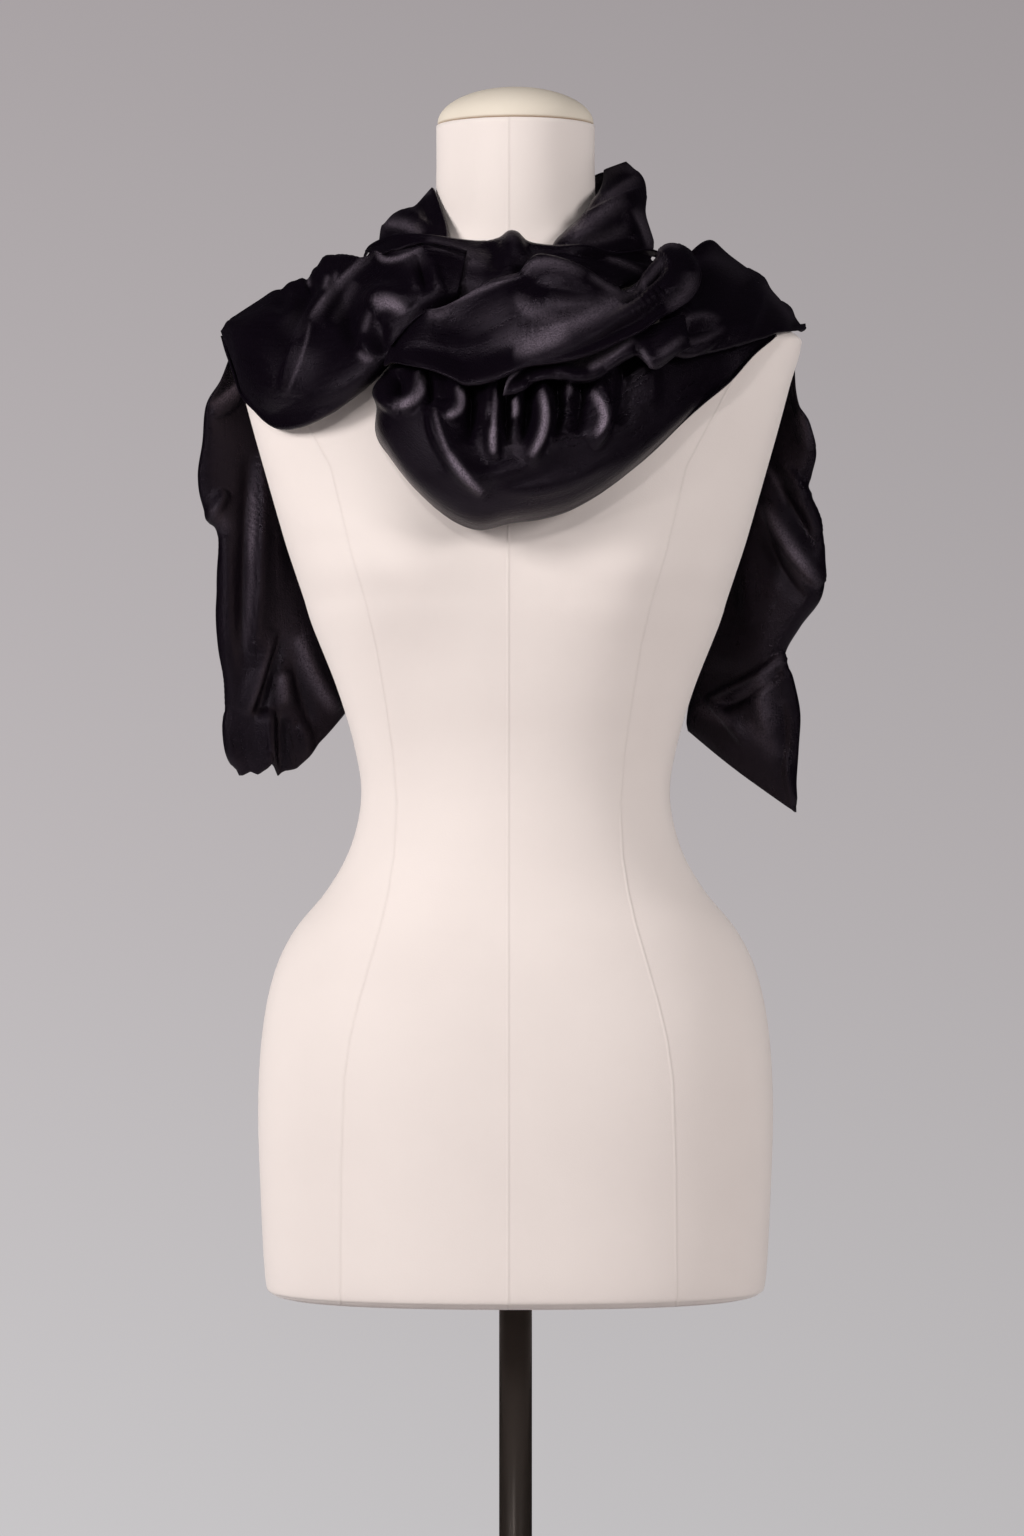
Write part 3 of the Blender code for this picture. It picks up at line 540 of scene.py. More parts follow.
def blended(first, x_first, second, x_second):
    """Directions that turn from the first to the second between two places across the front."""

    def directions(points):
        share = np.clip((points[..., :1] - x_first) / (x_second - x_first), 0, 1)
        way = first(points) * (1 - share) + second(points) * share
        return way / np.linalg.norm(way, axis=-1, keepdims=True)

    return directions


def soft_cover(values, reaches):
    """The largest value within reach on each side, then averaged twice over reach, so it rises softly and early."""
    for axis, reach in enumerate(reaches):
        for size, gather in ((2 * reach + 1, np.max), (reach + 1, np.mean), (reach + 1, np.mean)):
            margin = [(0, 0), (0, 0)]
            margin[axis] = (size // 2, size // 2)
            padded = np.pad(values, margin, mode="edge")
            values = gather(np.lib.stride_tricks.sliding_window_view(padded, size, axis=axis), axis=-1)
    return values


def search_tree(piece):
    return BVHTree.FromObject(piece, bpy.context.evaluated_depsgraph_get())


def height_over(points, out, trees):
    """How far each point has to move along out to reach the outermost surface there, or a large negative number."""
    starts = ((points + out * REACH) * MM).reshape(-1, 3).tolist()
    ways = (-out).reshape(-1, 3).tolist()
    reach = (REACH + 40) * MM
    nearest = np.full(len(starts), 1e6)
    for tree in trees:
        hits = [tree.ray_cast(start, way, reach)[3] for start, way in zip(starts, ways)]
        nearest = np.minimum(nearest, [1e6 if hit is None else hit / MM for hit in hits])
    return (REACH - nearest).reshape(points.shape[:2])


def settled(points, out_of, beneath):
    """Moves a sheet off what lies beneath, so that it rests there softly."""
    out = out_of(points)
    lift = np.maximum(height_over(points, out, [laid_trees[name] for name in beneath]) + WALL / 2 + CLEAR, 0)
    return points + out * soft_cover(lift, COVER)[..., None]


laid_trees = {"dress_form": search_tree(dress_form)}


def velvet_piece(name, points, cad_node, marks=()):
    """Gives a settled sheet its wall, its velvet with the marks painted on it as highlights, and states its cut in
    metres.
    """
    piece = mesh_piece(name, points, grid_quads(*points.shape[:2]))
    along = np.linalg.norm(np.diff(points, axis=0), axis=-1).mean(axis=1)
    across = np.linalg.norm(np.diff(points, axis=1), axis=-1).mean(axis=0)
    run = np.concatenate([[0], np.cumsum(along)]) * MM
    width = np.concatenate([[0], np.cumsum(across)]) * MM
    places = np.stack(np.broadcast_arrays(run[:, None], width[None, :]), axis=-1).reshape(-1, 2)
    corners = np.zeros(len(piece.data.loops), np.int32)
    piece.data.loops.foreach_get("vertex_index", corners)
    strip_map = piece.data.uv_layers.new(name="strip")
    strip_map.data.foreach_set("uv", places[corners].ravel().astype(np.float32))
    # The marks' painted highlight strength on each point, kept for the velvet to lighten its base colour.
    painted_gleam = fold_relief(seen_from_front(points), marks).clip(0, 1)
    add_numbers(piece, "painted_gleam", painted_gleam.ravel())
    piece.data.materials.append(velvet)
    wall = piece.modifiers.new("wall", "SOLIDIFY")
    wall.thickness = WALL * MM
    wall.offset = 0.0
    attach(piece, "root")
    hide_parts(cad_node)
    bpy.context.view_layer.update()
    laid_trees[cad_node] = search_tree(piece)
    return piece


def stretch_points(
    sections, folds, size, turns, out_of, beneath, lean=1.0, tuck=0.35, seed=1, unrest=0.5, hem=((0, 0), (1, 0))
):
    """The draped surface in space, with its folds and a soft unevenness along its normals, settled on the rest.

    The hem lists how far the last section is cut shorter, at shares of the way across. It fades over the last fifth.
    """
    seen, on_face = draped_surface(sections, size, turns, lean, tuck)
    shares, cuts = np.array(hem, float).T
    across = (seen[-1, :, 0] - seen[-1, 0, 0]) / (seen[-1, -1, 0] - seen[-1, 0, 0])
    seen[..., 2] += np.linspace(-4, 1, size[0]).clip(0)[:, None] ** 2 * np.interp(across, shares, cuts)[None, :]
    points = in_space(seen)
    relief = fold_relief(seen, folds) * on_face
    relief += unrest * sum(unevenness(points, length, seed + shift) * height for length, height, shift in WAVES)
    points = points + grid_normals(points) * relief[..., None]
    return settled(points, out_of, beneath)


round_neck = from_line((0, 0, 1300), (0, 0, 1480))
over_left = blended(from_line((-60, 10, 1330), (-185, 10, 1285)), -125, to_eye, -95)
over_right = blended(from_line((60, 10, 1330), (185, 10, 1285)), 140, to_eye, 115)


# Behind the neck.
# The plain part of the strip that crosses the back of the neck, doubled on itself and hidden from the front.
# It is stated by its angle round the neck, where 0 is the viewer's right and 90 the back.
# Columns: angle, radius and z of the lower edge, radius and z of the upper edge, belly.
COLLAR_BACK = (
    (18, 76, 1392, 68, 1436, 3),
    (34, 82, 1384, 72, 1444, 9),
    (62, 86, 1378, 72, 1442, 14),
    (95, 84, 1376, 70, 1436, 14),
    (128, 86, 1376, 72, 1430, 14),
    (152, 86, 1378, 75, 1420, 9),
    (168, 82, 1384, 74, 1408, 4),
)
BACK_PLEATS = ((0.22, 2.6), (0.46, -2.2), (0.68, 2.4), (0.86, -1.6))


def collar_back_surface(rows, along, across):
    """radius = low + (top - low) t + belly sin a, height the same way, and lengthwise pleats at shares of t."""
    rows = between_rows(rows, np.linspace(0, len(rows) - 1, along))
    angle, low_radius, low_z, top_radius, top_z, belly = (rows[:, column][:, None] for column in range(6))
    turn = np.linspace(0, math.pi, across)[None, :]
    t = (1 - np.cos(turn)) / 2
    radius = low_radius + (top_radius - low_radius) * t + belly * np.sin(turn)
    for share, rise in BACK_PLEATS:
        drift = share + 0.07 * np.sin(np.radians(angle) * 2 + share * 9)
        radius = radius + rise * np.exp(-(((t - drift) / 0.07) ** 2)) * np.sin(turn)
    height = low_z + (top_z - low_z) * t + 3 * np.sin(np.radians(angle) * 5) * t
    angle = np.radians(angle)
    return np.stack([radius * np.cos(angle), radius * np.sin(angle), height + 0 * radius], axis=-1)


back_points = settled(collar_back_surface(COLLAR_BACK, 180, 60)[::-1], round_neck, ["dress_form"])
velvet_piece("collar_back_sheet", back_points, "collar_back")


# Left side of the neck.
# Two small soft rolls where the strip comes round the neck from behind and dives under the band in front.
COLLAR_LEFT = (
    (-97, 1376, 20, -95, 1392, 22, 6, 0),
    (-94, 1376, -4, -92, 1406, 6, 14, 0),
    (-84, 1378, -26, -80, 1414, -4, 18, 0),
    (-72, 1380, -44, -69, 1416, -6, 14, 0),
    (-62, 1382, -54, -60, 1424, 2, 8, 0),
    (-44, 1390, -62, -54, 1430, -8, 3, 0),
)
COLLAR_LEFT_FOLDS = (
    (-92, 1402, -84, 1404, -78, 1396, -5, 4, 4),
    (-88, 1392, -78, 1398, -62, 1410, 3, 3, 5),
    (-76, 1412, -66, 1408, -58, 1398, 2.5, 4, 3),
)
# Painted highlights on this stretch: curves where its base colour is lightened into a gleam.
COLLAR_LEFT_MARKS = (
    (-92, 1402, -80, 1404, -64, 1396, 0.34, 4, 3),
    (-73, 1414, -66, 1424, -57, 1428, 0.16, 2, 2),
    (-94, 1394, -90, 1410, -80, 1414, 0.10, 2, 3),
)
points = stretch_points(
    COLLAR_LEFT, COLLAR_LEFT_FOLDS, (60, 40), (0, 10), round_neck, ["dress_form", "collar_back"], seed=2
)
velvet_piece(
    "collar_left_sheet", points, "collar_left", COLLAR_LEFT_MARKS
)


# Right side of the neck.
# The strip stands up like a collar beside the neck, bent over at the top, with long creases that run down into
# the band at the front.
COLLAR_RIGHT = (
    (58, 1441, 24, 77, 1448, 14, 5, 0),
    (55, 1434, 12, 88, 1438, 6, 14, 0),
    (51, 1423, -30, 91, 1427, 0, 20, 0),
    (45, 1410, -42, 90, 1413, -2, 24, 0),
    (36, 1401, -54, 92, 1401, -6, 24, 0),
    (27, 1391, -62, 94, 1391, -10, 22, 0),
    (30, 1384, -66, 92, 1385, -20, 16, 0),
    (36, 1378, -70, 86, 1384, -32, 8, 0),
)
COLLAR_RIGHT_FOLDS = (
    (43, 1405, 62, 1417, 90, 1430, 4, 2, 8),
    (60, 1424, 76, 1434, 86, 1440, -2.5, 5, 5),
    (41, 1397, 56, 1401, 72, 1406, 3, 3, 5),
    (50, 1390, 70, 1395, 88, 1397, -3, 4, 4),
    (75, 1419, 80, 1404, 88, 1387, 3, 8, 3),
    (54, 1384, 70, 1386, 84, 1388, 2, 3, 3),
)
# Painted highlights on this stretch: curves where its base colour is lightened into a gleam.
COLLAR_RIGHT_MARKS = (
    (32, 1393, 54, 1409, 78, 1424, 0.24, 3, 6),
    (46, 1392, 62, 1396, 80, 1402, 0.20, 4, 4),
    (56, 1418, 72, 1430, 88, 1438, 0.20, 2, 4),
    (81, 1416, 89, 1400, 93, 1386, 0.26, 5, 1.6),
    (64, 1440, 76, 1444, 86, 1438, 0.10, 3, 3),
)
points = stretch_points(
    COLLAR_RIGHT, COLLAR_RIGHT_FOLDS, (80, 70), (0, 16), round_neck, ["dress_form", "collar_back"], seed=3, unrest=0.25
)
velvet_piece(
    "collar_right_sheet", points, "collar_right", COLLAR_RIGHT_MARKS
)


# Band under the chin.
# The strip crosses the front of the neck, folded in on itself along its upper edge, with a small peak where the
# gather thread pulls it up.
NECK_FRONT = (
    (-94, 1378, 2, -92, 1386, 10, 8, 0),
    (-87, 1373, -30, -85, 1391, -14, 17, 0),
    (-72, 1358, -58, -72, 1396, -42, 24, 0),
    (-54, 1340, -76, -54, 1396, -64, 26, 0),
    (-38, 1328, -86, -36, 1393, -72, 26, 0),
    (-24, 1322, -90, -22, 1392, -76, 26, 0),
    (-12, 1320, -92, -12, 1394, -80, 28, 0),
    (-3, 1320, -92, -3, 1397, -82, 27, 0),
    (8, 1322, -92, 7, 1391, -80, 26, 0),
    (26, 1328, -88, 24, 1388, -76, 24, 0),
    (44, 1340, -78, 42, 1389, -70, 22, 0),
    (62, 1356, -62, 60, 1384, -56, 18, 0),
    (80, 1366, -42, 80, 1386, -36, 12, 0),
    (90, 1368, -24, 89, 1384, -20, 7, 0),
)
NECK_FOLDS = (
    (-3, 1400, 1, 1388, 12, 1375, 4, 5, 4),
    (10, 1388, 15, 1379, 26, 1372, -3, 4, 4),
    (-20, 1392, -16, 1382, -14, 1370, -2.5, 5, 6),
    (-68, 1364, -44, 1356, -18, 1354, -4, 7, 7),
    (-58, 1377, -50, 1368, -34, 1362, 3, 3, 5),
    (20, 1374, 44, 1374, 66, 1366, 3, 4, 6),
    (68, 1381, 80, 1374, 90, 1371, 2.5, 2, 3),
    (30, 1384, 48, 1382, 62, 1378, -2, 3, 3),
)
# Painted highlights on this stretch: curves where its base colour is lightened into a gleam.
NECK_MARKS = (
    (-64, 1392, -42, 1384, -18, 1377, 0.26, 5, 6),
    (-56, 1364, -40, 1358, -22, 1360, 0.12, 4, 4),
    (-12, 1392, -6, 1396, 2, 1390, 0.10, 2, 2),
    (6, 1384, 22, 1378, 40, 1374, 0.09, 4, 4),
    (62, 1382, 76, 1377, 90, 1371, 0.20, 1.5, 2.5),
)
points = stretch_points(
    NECK_FRONT, NECK_FOLDS, (190, 60), (0, 12), round_neck,
    ["dress_form", "collar_back", "collar_left", "collar_right"], seed=4,
)
velvet_piece("neck_front_sheet", points, "neck_front", NECK_MARKS)


# Gathered cowl.
# Below the gather thread the strip hangs free on the chest. Pleats fan out from the thread and die out in the soft
# belly of the cowl, which turns back under its lower edge.
FRONT_COWL = (
    (-95, 1286, -98, -92, 1301, -100, 6, 0),
    (-97, 1259, -100, -84, 1307, -108, 26, 0),
    (-87, 1242, -104, -70, 1308, -112, 34, 0),
    (-73, 1224, -108, -56, 1308, -114, 40, 0),
    (-56, 1207, -111, -42, 1307, -115, 43, 0),
    (-40, 1196, -112, -28, 1306, -116, 44, 0),
    (-24, 1191, -112, -12, 1305, -116, 44, 0),
    (-6, 1195, -112, 3, 1305, -116, 44, 0),
    (18, 1199, -112, 21, 1307, -116, 43, 0),
    (40, 1206, -111, 38, 1310, -115, 41, 0),
    (63, 1219, -108, 57, 1315, -112, 37, 0),
    (85, 1237, -103, 75, 1322, -107, 32, 0),
    (111, 1262, -94, 95, 1330, -98, 25, 0),
    (132, 1279, -84, 117, 1335, -88, 18, 0),
    (149, 1294, -72, 138, 1340, -74, 12, 0),
    (166, 1313, -54, 158, 1343, -56, 8, 0),
    (182, 1327, -32, 175, 1340, -32, 4, 0),
)
COWL_PLEATS = (
    (-94, 1300, -92, 1282, -80, 1275, 5.4, 5, 4),
    (-81, 1275, -71, 1281, -67, 1303, 8.1, 3, 3),
    (-84, 1304, -83, 1294, -81, 1283, -8.1, 5, 5),
    (-61, 1306, -60, 1290, -59, 1272, -6.8, 3, 4),
    (-43, 1302, -40, 1282, -48, 1264, 8.1, 4, 6),
    (-58, 1284, -52, 1248, -20, 1214, 9.5, 12, 3),
    (-34, 1304, -31, 1276, -34, 1250, -8.1, 4, 5),
    (-23, 1304, -21, 1282, -24, 1262, 5.4, 4, 4),
    (-13, 1302, -15, 1266, -12, 1238, 9.5, 2.5, 7),
    (-6, 1302, -7, 1276, -6, 1250, -8.1, 3, 3),
    (1, 1296, 2, 1278, -1, 1264, 6.8, 3, 4),
    (8, 1302, 8, 1276, 6, 1250, -8.1, 4, 4),
    (17, 1300, 21, 1266, 9, 1236, 10.8, 3, 8),
    (28, 1302, 30, 1278, 26, 1256, -6.8, 4, 4),
    (36, 1300, 37, 1288, 36, 1276, 5.4, 3, 4),
    (46, 1304, 46, 1280, 42, 1258, -6.8, 4, 5),
    (52, 1302, 64, 1272, 53, 1248, 9.5, 3, 8),
    (74, 1314, 76, 1288, 70, 1264, -5.4, 6, 5),
    (88, 1318, 94, 1296, 92, 1274, 3.4, 6, 8),
)
COWL_SWEEPS = (
    (-52, 1236, -16, 1229, 44, 1256, 3, 7, 7),
    (-18, 1221, 26, 1221, 74, 1246, 2.5, 7, 5),
    (-92, 1268, -76, 1236, -44, 1208, 2, 8, 6),
    (60, 1226, 96, 1254, 134, 1292, 2, 8, 6),
)
# Painted highlights on this stretch: curves where its base colour is lightened into a gleam.
COWL_MARKS = (
    (-66, 1303, -69, 1284, -87, 1277, 1.3, 2, 3),
    (-40, 1292, -39, 1277, -49, 1270, 1.4, 1.8, 2),
    (-57, 1277, -46, 1243, -23, 1216, 0.6, 1.2, 1.4),
    (-47, 1246, -35, 1229, -22, 1216, 0.8, 1.6, 3),
    (-14, 1290, -15, 1264, -15, 1243, 0.8, 0.9, 1.3),
    (-15, 1264, -16, 1254, -15, 1244, 1.0, 1.4, 1.8),
    (-1, 1284, 0, 1276, -1, 1269, 1.0, 1.4, 1.4),
    (18, 1290, 21, 1264, 10, 1241, 1.3, 1.3, 2.6),
    (54, 1289, 63, 1271, 56, 1256, 1.3, 1.3, 3.2),
    (-38, 1222, -8, 1206, 40, 1217, 0.03, 8, 6),
    (36, 1300, 38, 1292, 37, 1284, 0.4, 1.4, 1.4),
    (-90, 1262, -80, 1244, -66, 1228, 0.03, 6, 6),
    (-6, 1262, 2, 1248, 8, 1238, 0.07, 5, 5),
)
points = stretch_points(
    FRONT_COWL, COWL_PLEATS + COWL_SWEEPS, (300, 140), (12, 0), to_eye, ["dress_form", "neck_front"],
    lean=0.7, seed=5,
)
velvet_piece("front_cowl_sheet", points, "front_cowl", COWL_MARKS)


# Over the right shoulder.
# The strip runs from under the loop over the form's left shoulder, in a loose puff with rolled lower folds.
RIGHT_SHOULDER = (
    (98, 1321, -108, 106, 1364, -58, 20, 0, 0.2),
    (113, 1316, -106, 119, 1380, -36, 32, 0, 0.6),
    (129, 1314, -100, 132, 1385, -24, 34, 0, 1),
    (145, 1316, -91, 145, 1383, -16, 32, 0, 1),
    (159, 1320, -80, 159, 1376, -9, 27, 0, 1),
    (172, 1323, -66, 171, 1366, -4, 23, 0, 1),
    (183, 1326, -48, 183, 1354, 1, 19, 0, 0.9),
    (193, 1326, -26, 193, 1342, 6, 12, 0, 0.6),
    (201, 1327, 2, 200, 1333, 12, 5, 0, 0.3),
)
RIGHT_SHOULDER_FOLDS = (
    (167, 1378, 170, 1352, 152, 1318, 3.5, 5, 12),
    (188, 1352, 190, 1340, 182, 1326, 2.5, 4, 8),
    (104, 1339, 113, 1343, 123, 1338, 4, 3, 4),
    (98, 1330, 120, 1317, 148, 1333, 5, 6, 3.5),
    (113, 1332, 129, 1340, 144, 1335, 3, 3, 5),
    (120, 1326, 132, 1330, 142, 1328, -2.5, 3, 3),
    (126, 1380, 130, 1362, 122, 1350, -3, 7, 7),
)
# Painted highlights on this stretch: curves where its base colour is lightened into a gleam.
RIGHT_SHOULDER_MARKS = (
    (98, 1332, 120, 1321, 148, 1333, 0.16, 3, 1.6),
    (113, 1334, 129, 1341, 144, 1336, 0.12, 2, 2.5),
    (132, 1388, 150, 1376, 164, 1364, 0.05, 6, 8),
    (171, 1366, 186, 1348, 196, 1336, 0.08, 2, 4),
)
points = stretch_points(
    RIGHT_SHOULDER, RIGHT_SHOULDER_FOLDS, (100, 64), (8, 62), over_right,
    ["dress_form", "collar_back", "collar_right", "neck_front", "front_cowl"], tuck=0.35, seed=6,
)
velvet_piece(
    "right_shoulder_sheet", points, "right_shoulder", RIGHT_SHOULDER_MARKS
)


# Frill of the gather.
# The edge beyond the gather thread stands up in a small frill under the sash.
RUFFLE = (
    (-9, 1285, -120, -2, 1303, -112, 5, 0),
    (4, 1288, -121, 9, 1308, -112, 6, 0),
    (18, 1296, -121, 20, 1312, -112, 6, 0),
    (31, 1296, -121, 32, 1313, -112, 7, 0),
    (45, 1294, -121, 44, 1316, -112, 8, 0),
    (59, 1298, -119, 57, 1321, -110, 8, 0),
    (70, 1306, -116, 68, 1325, -107, 8, 0),
    (82, 1313, -111, 79, 1329, -102, 8, 0),
    (91, 1307, -105, 88, 1332, -96, 8, 0),
    (99, 1304, -99, 96, 1334, -92, 7, 0),
    (112, 1313, -91, 108, 1338, -85, 6, 0),
    (122, 1319, -83, 118, 1341, -78, 4, 0),
)
RUFFLE_FOLDS = (
    (-8, 1285, -1, 1300, 18, 1305, 3, 2, 2.5),
    (8, 1298, 12, 1292, 18, 1288, -3, 3, 3),
    (26, 1306, 44, 1298, 62, 1304, 4, 4, 2.5),
    (62, 1304, 72, 1312, 84, 1318, 3, 3, 3),
    (84, 1322, 88, 1312, 92, 1304, -4, 3, 3),
    (94, 1308, 104, 1314, 116, 1322, 3, 3, 3),
)
# Painted highlights on this stretch: curves where its base colour is lightened into a gleam.
RUFFLE_MARKS = (
    (-8, 1285, -5, 1295, 8, 1305, 0.8, 0.9, 0.9),
    (50, 1303, 64, 1311, 83, 1325, 0.6, 2.5, 2.5),
    (88, 1318, 92, 1310, 96, 1302, 0.3, 1.6, 2.4),
    (98, 1312, 108, 1318, 118, 1326, 0.2, 2.5, 2.5),
)
points = stretch_points(
    RUFFLE, RUFFLE_FOLDS, (110, 24), (2, 0), to_eye, ["front_cowl", "right_shoulder"], seed=7, unrest=0.4
)
velvet_piece("ruffle_sheet", points, "ruffle", RUFFLE_MARKS)


# Over the left shoulder.
# The strip comes up over the form's right shoulder from behind, gathered at its top edge, and sweeps round in
# long folds to the pinch where it dives under itself at the centre.
LEFT_SHOULDER = (
    (-197, 1309, 4, -203, 1323, 10, 6, 0, 0.3),
    (-192, 1294, -12, -201, 1336, 8, 13, 0, 0.45),
    (-187, 1282, -28, -195, 1341, 4, 20, 0, 0.6),
    (-171, 1268, -52, -180, 1349, -4, 28, 0, 0.9),
    (-152, 1267, -72, -161, 1356, -10, 33, 0, 1),
    (-133, 1274, -86, -144, 1354, -14, 36, 0, 1),
    (-114, 1284, -94, -124, 1359, -22, 36, 0, 0.8),
    (-98, 1296, -98, -108, 1371, -34, 34, 0, 0.4),
    (-86, 1309, -100, -92, 1384, -44, 30, 0, 0.25),
    (-72, 1322, -100, -72, 1392, -60, 24, 0, 0.2),
    (-58, 1332, -98, -52, 1391, -74, 16, 0, 0.15),
    (-44, 1340, -96, -34, 1386, -82, 8, 0, 0.15),
)
LEFT_SHOULDER_FOLDS = (
    (-113, 1380, -144, 1337, -161, 1284, 7, 12, 3),
    (-120, 1372, -150, 1332, -168, 1290, -3, 3, 10),
    (-116, 1372, -127, 1352, -134, 1328, 3.5, 3, 4),
    (-145, 1370, -144, 1360, -147, 1350, 3, 4, 4),
    (-138, 1372, -139, 1362, -143, 1352, -3, 3.5, 3.5),
    (-131, 1374, -135, 1362, -140, 1352, 3, 3.5, 3.5),
    (-125, 1376, -129, 1366, -136, 1354, -2.5, 3, 3.5),
    (-160, 1362, -162, 1350, -168, 1338, -4, 5, 5),
    (-118, 1360, -118, 1338, -112, 1318, -6, 7, 5),
    (-102, 1342, -90, 1353, -74, 1346, 9, 9, 3.5),
    (-100, 1342, -106, 1326, -100, 1308, 4, 4, 4),
    (-92, 1338, -95, 1326, -88, 1314, -5, 6, 6),
    (-97, 1388, -88, 1379, -58, 1389, 4, 2, 6),
    (-94, 1393, -82, 1389, -66, 1393, -2, 3, 2),
    (-68, 1386, -66, 1374, -60, 1356, -5, 4, 4),
    (-78, 1384, -73, 1372, -68, 1358, 3, 4, 4),
    (-58, 1382, -56, 1368, -50, 1352, 3, 3, 5),
    (-186, 1330, -172, 1306, -158, 1278, 2.5, 12, 12),
)
# Painted highlights on this stretch: curves where its base colour is lightened into a gleam.
LEFT_SHOULDER_MARKS = (
    (-101, 1349, -89, 1353, -75, 1343, 0.7, 2, 5),
    (-99, 1346, -88, 1349, -77, 1342, 0.5, 3, 4),
    (-101, 1344, -104, 1336, -106, 1328, 0.25, 2, 2),
    (-109, 1316, -105, 1311, -99, 1311, 0.45, 2, 2.5),
    (-96, 1388, -88, 1380, -64, 1389, 0.6, 1, 1.8),
    (-102, 1385, -128, 1360, -145, 1337, 0.36, 4, 1.2),
    (-144, 1337, -149, 1314, -160, 1286, 0.3, 1, 1),
    (-112, 1365, -117, 1355, -128, 1335, 0.12, 4, 3),
    (-146, 1371, -145, 1366, -144, 1360, 0.3, 1.6, 1.6),
    (-131, 1369, -132, 1364, -134, 1358, 0.32, 1.6, 1.6),
    (-124, 1372, -128, 1364, -133, 1356, 0.25, 1.5, 1.5),
    (-160, 1342, -154, 1334, -148, 1326, 0.05, 8, 8),
    (-82, 1392, -72, 1382, -62, 1384, 0.10, 6, 6),
)
points = stretch_points(
    LEFT_SHOULDER, LEFT_SHOULDER_FOLDS, (150, 84), (8, 62), over_left,
    ["dress_form", "collar_back", "collar_left", "neck_front", "front_cowl"], tuck=0.35, seed=9,
)
velvet_piece(
    "left_shoulder_sheet", points, "left_shoulder", LEFT_SHOULDER_MARKS
)


# Sash across the front.
# The smoothest part of the strip. It comes out from under the left side, lies over the gather, and rises to a
# loop with a deep scoop before it dives behind the right shoulder.
FRONT_SWAG = (
    (-92, 1306, -98, -87, 1320, -104, 5, 0),
    (-84, 1309, -110, -76, 1333, -104, 10, 0),
    (-72, 1307, -116, -64, 1343, -104, 14, 0),
    (-58, 1303, -120, -54, 1343, -104, 18, 0),
    (-44, 1297, -124, -44, 1347, -104, 19, 0),
    (-34, 1292, -126, -34, 1354, -104, 21, 0),
    (-20, 1294, -126, -22, 1362, -106, 22, 0),
    (-6, 1300, -126, -10, 1367, -108, 22, 0),
    (9, 1305, -126, 4, 1371, -108, 24, 0),
    (26, 1307, -126, 17, 1380, -108, 24, 0),
    (42, 1310, -126, 30, 1381, -108, 24, 0),
    (59, 1316, -124, 48, 1374, -106, 23, 0),
    (75, 1323, -120, 63, 1364, -104, 22, 0),
    (89, 1330, -116, 76, 1361, -102, 21, 0),
    (101, 1339, -110, 88, 1372, -96, 20, 0),
    (113, 1346, -102, 98, 1382, -88, 19, 0),
    (122, 1352, -92, 104, 1390, -80, 18, 0),
    (127, 1360, -80, 113, 1391, -72, 14, 0),
    (128, 1370, -70, 121, 1385, -66, 6, 0),
)
SWAG_FOLDS = (
    (-4, 1313, 44, 1324, 103, 1360, 6, 8, 5),
    (0, 1331, 46, 1338, 92, 1359, -5, 12, 7),
    (101, 1358, 122, 1368, 112, 1390, 5, 6, 6),
    (72, 1353, 90, 1368, 106, 1382, -14, 4.5, 5.5),
    (70, 1360, 86, 1373, 101, 1390, 5, 3, 3),
    (2, 1370, 21, 1379, 62, 1362, 4, 3, 9),
    (10, 1362, 38, 1359, 68, 1351, -3.5, 5, 5),
    (-64, 1343, -44, 1346, -12, 1367, 3, 2, 6),
    (-88, 1310, -56, 1306, -32, 1293, 2.5, 4, 3),
    (-60, 1330, -30, 1330, 0, 1340, -2.5, 12, 10),
    (-34, 1296, -14, 1300, 8, 1311, 3, 4, 3),
    (30, 1346, 52, 1352, 72, 1362, 2.5, 5, 5),
)
# Painted highlights on this stretch: curves where its base colour is lightened into a gleam.
SWAG_MARKS = (
    (-4, 1317, 38, 1334, 86, 1359, 0.34, 7, 7),
    (-2, 1315, 16, 1319, 38, 1329, 0.36, 6, 5),
    (-20, 1322, 8, 1326, 40, 1336, 0.10, 8, 6),
    (4, 1357, 8, 1344, 32, 1340, 0.26, 6, 4),
    (20, 1352, 36, 1349, 56, 1352, 0.12, 5, 5),
    (-62, 1343, -33, 1355, 4, 1370, 0.36, 2, 2),
    (4, 1370, 22, 1379, 50, 1369, 0.30, 2, 6),
    (50, 1370, 62, 1362, 72, 1356, 0.24, 2, 2.5),
    (-62, 1344, -54, 1341, -44, 1347, 0.26, 2, 3),
    (-40, 1330, -16, 1342, 0, 1352, 0.06, 9, 9),
    (74, 1352, 92, 1366, 104, 1382, 0.14, 2.5, 2.5),
    (104, 1346, 118, 1356, 124, 1372, 0.20, 5, 5),
    (98, 1384, 106, 1390, 116, 1388, 0.20, 2, 2),
)
points = stretch_points(
    FRONT_SWAG, SWAG_FOLDS, (210, 80), (6, 8), to_eye,
    ["dress_form", "collar_right", "neck_front", "front_cowl", "right_shoulder", "ruffle", "left_shoulder"],
    seed=8, unrest=0.35,
)
velvet_piece("front_swag_sheet", points, "front_swag", SWAG_MARKS)


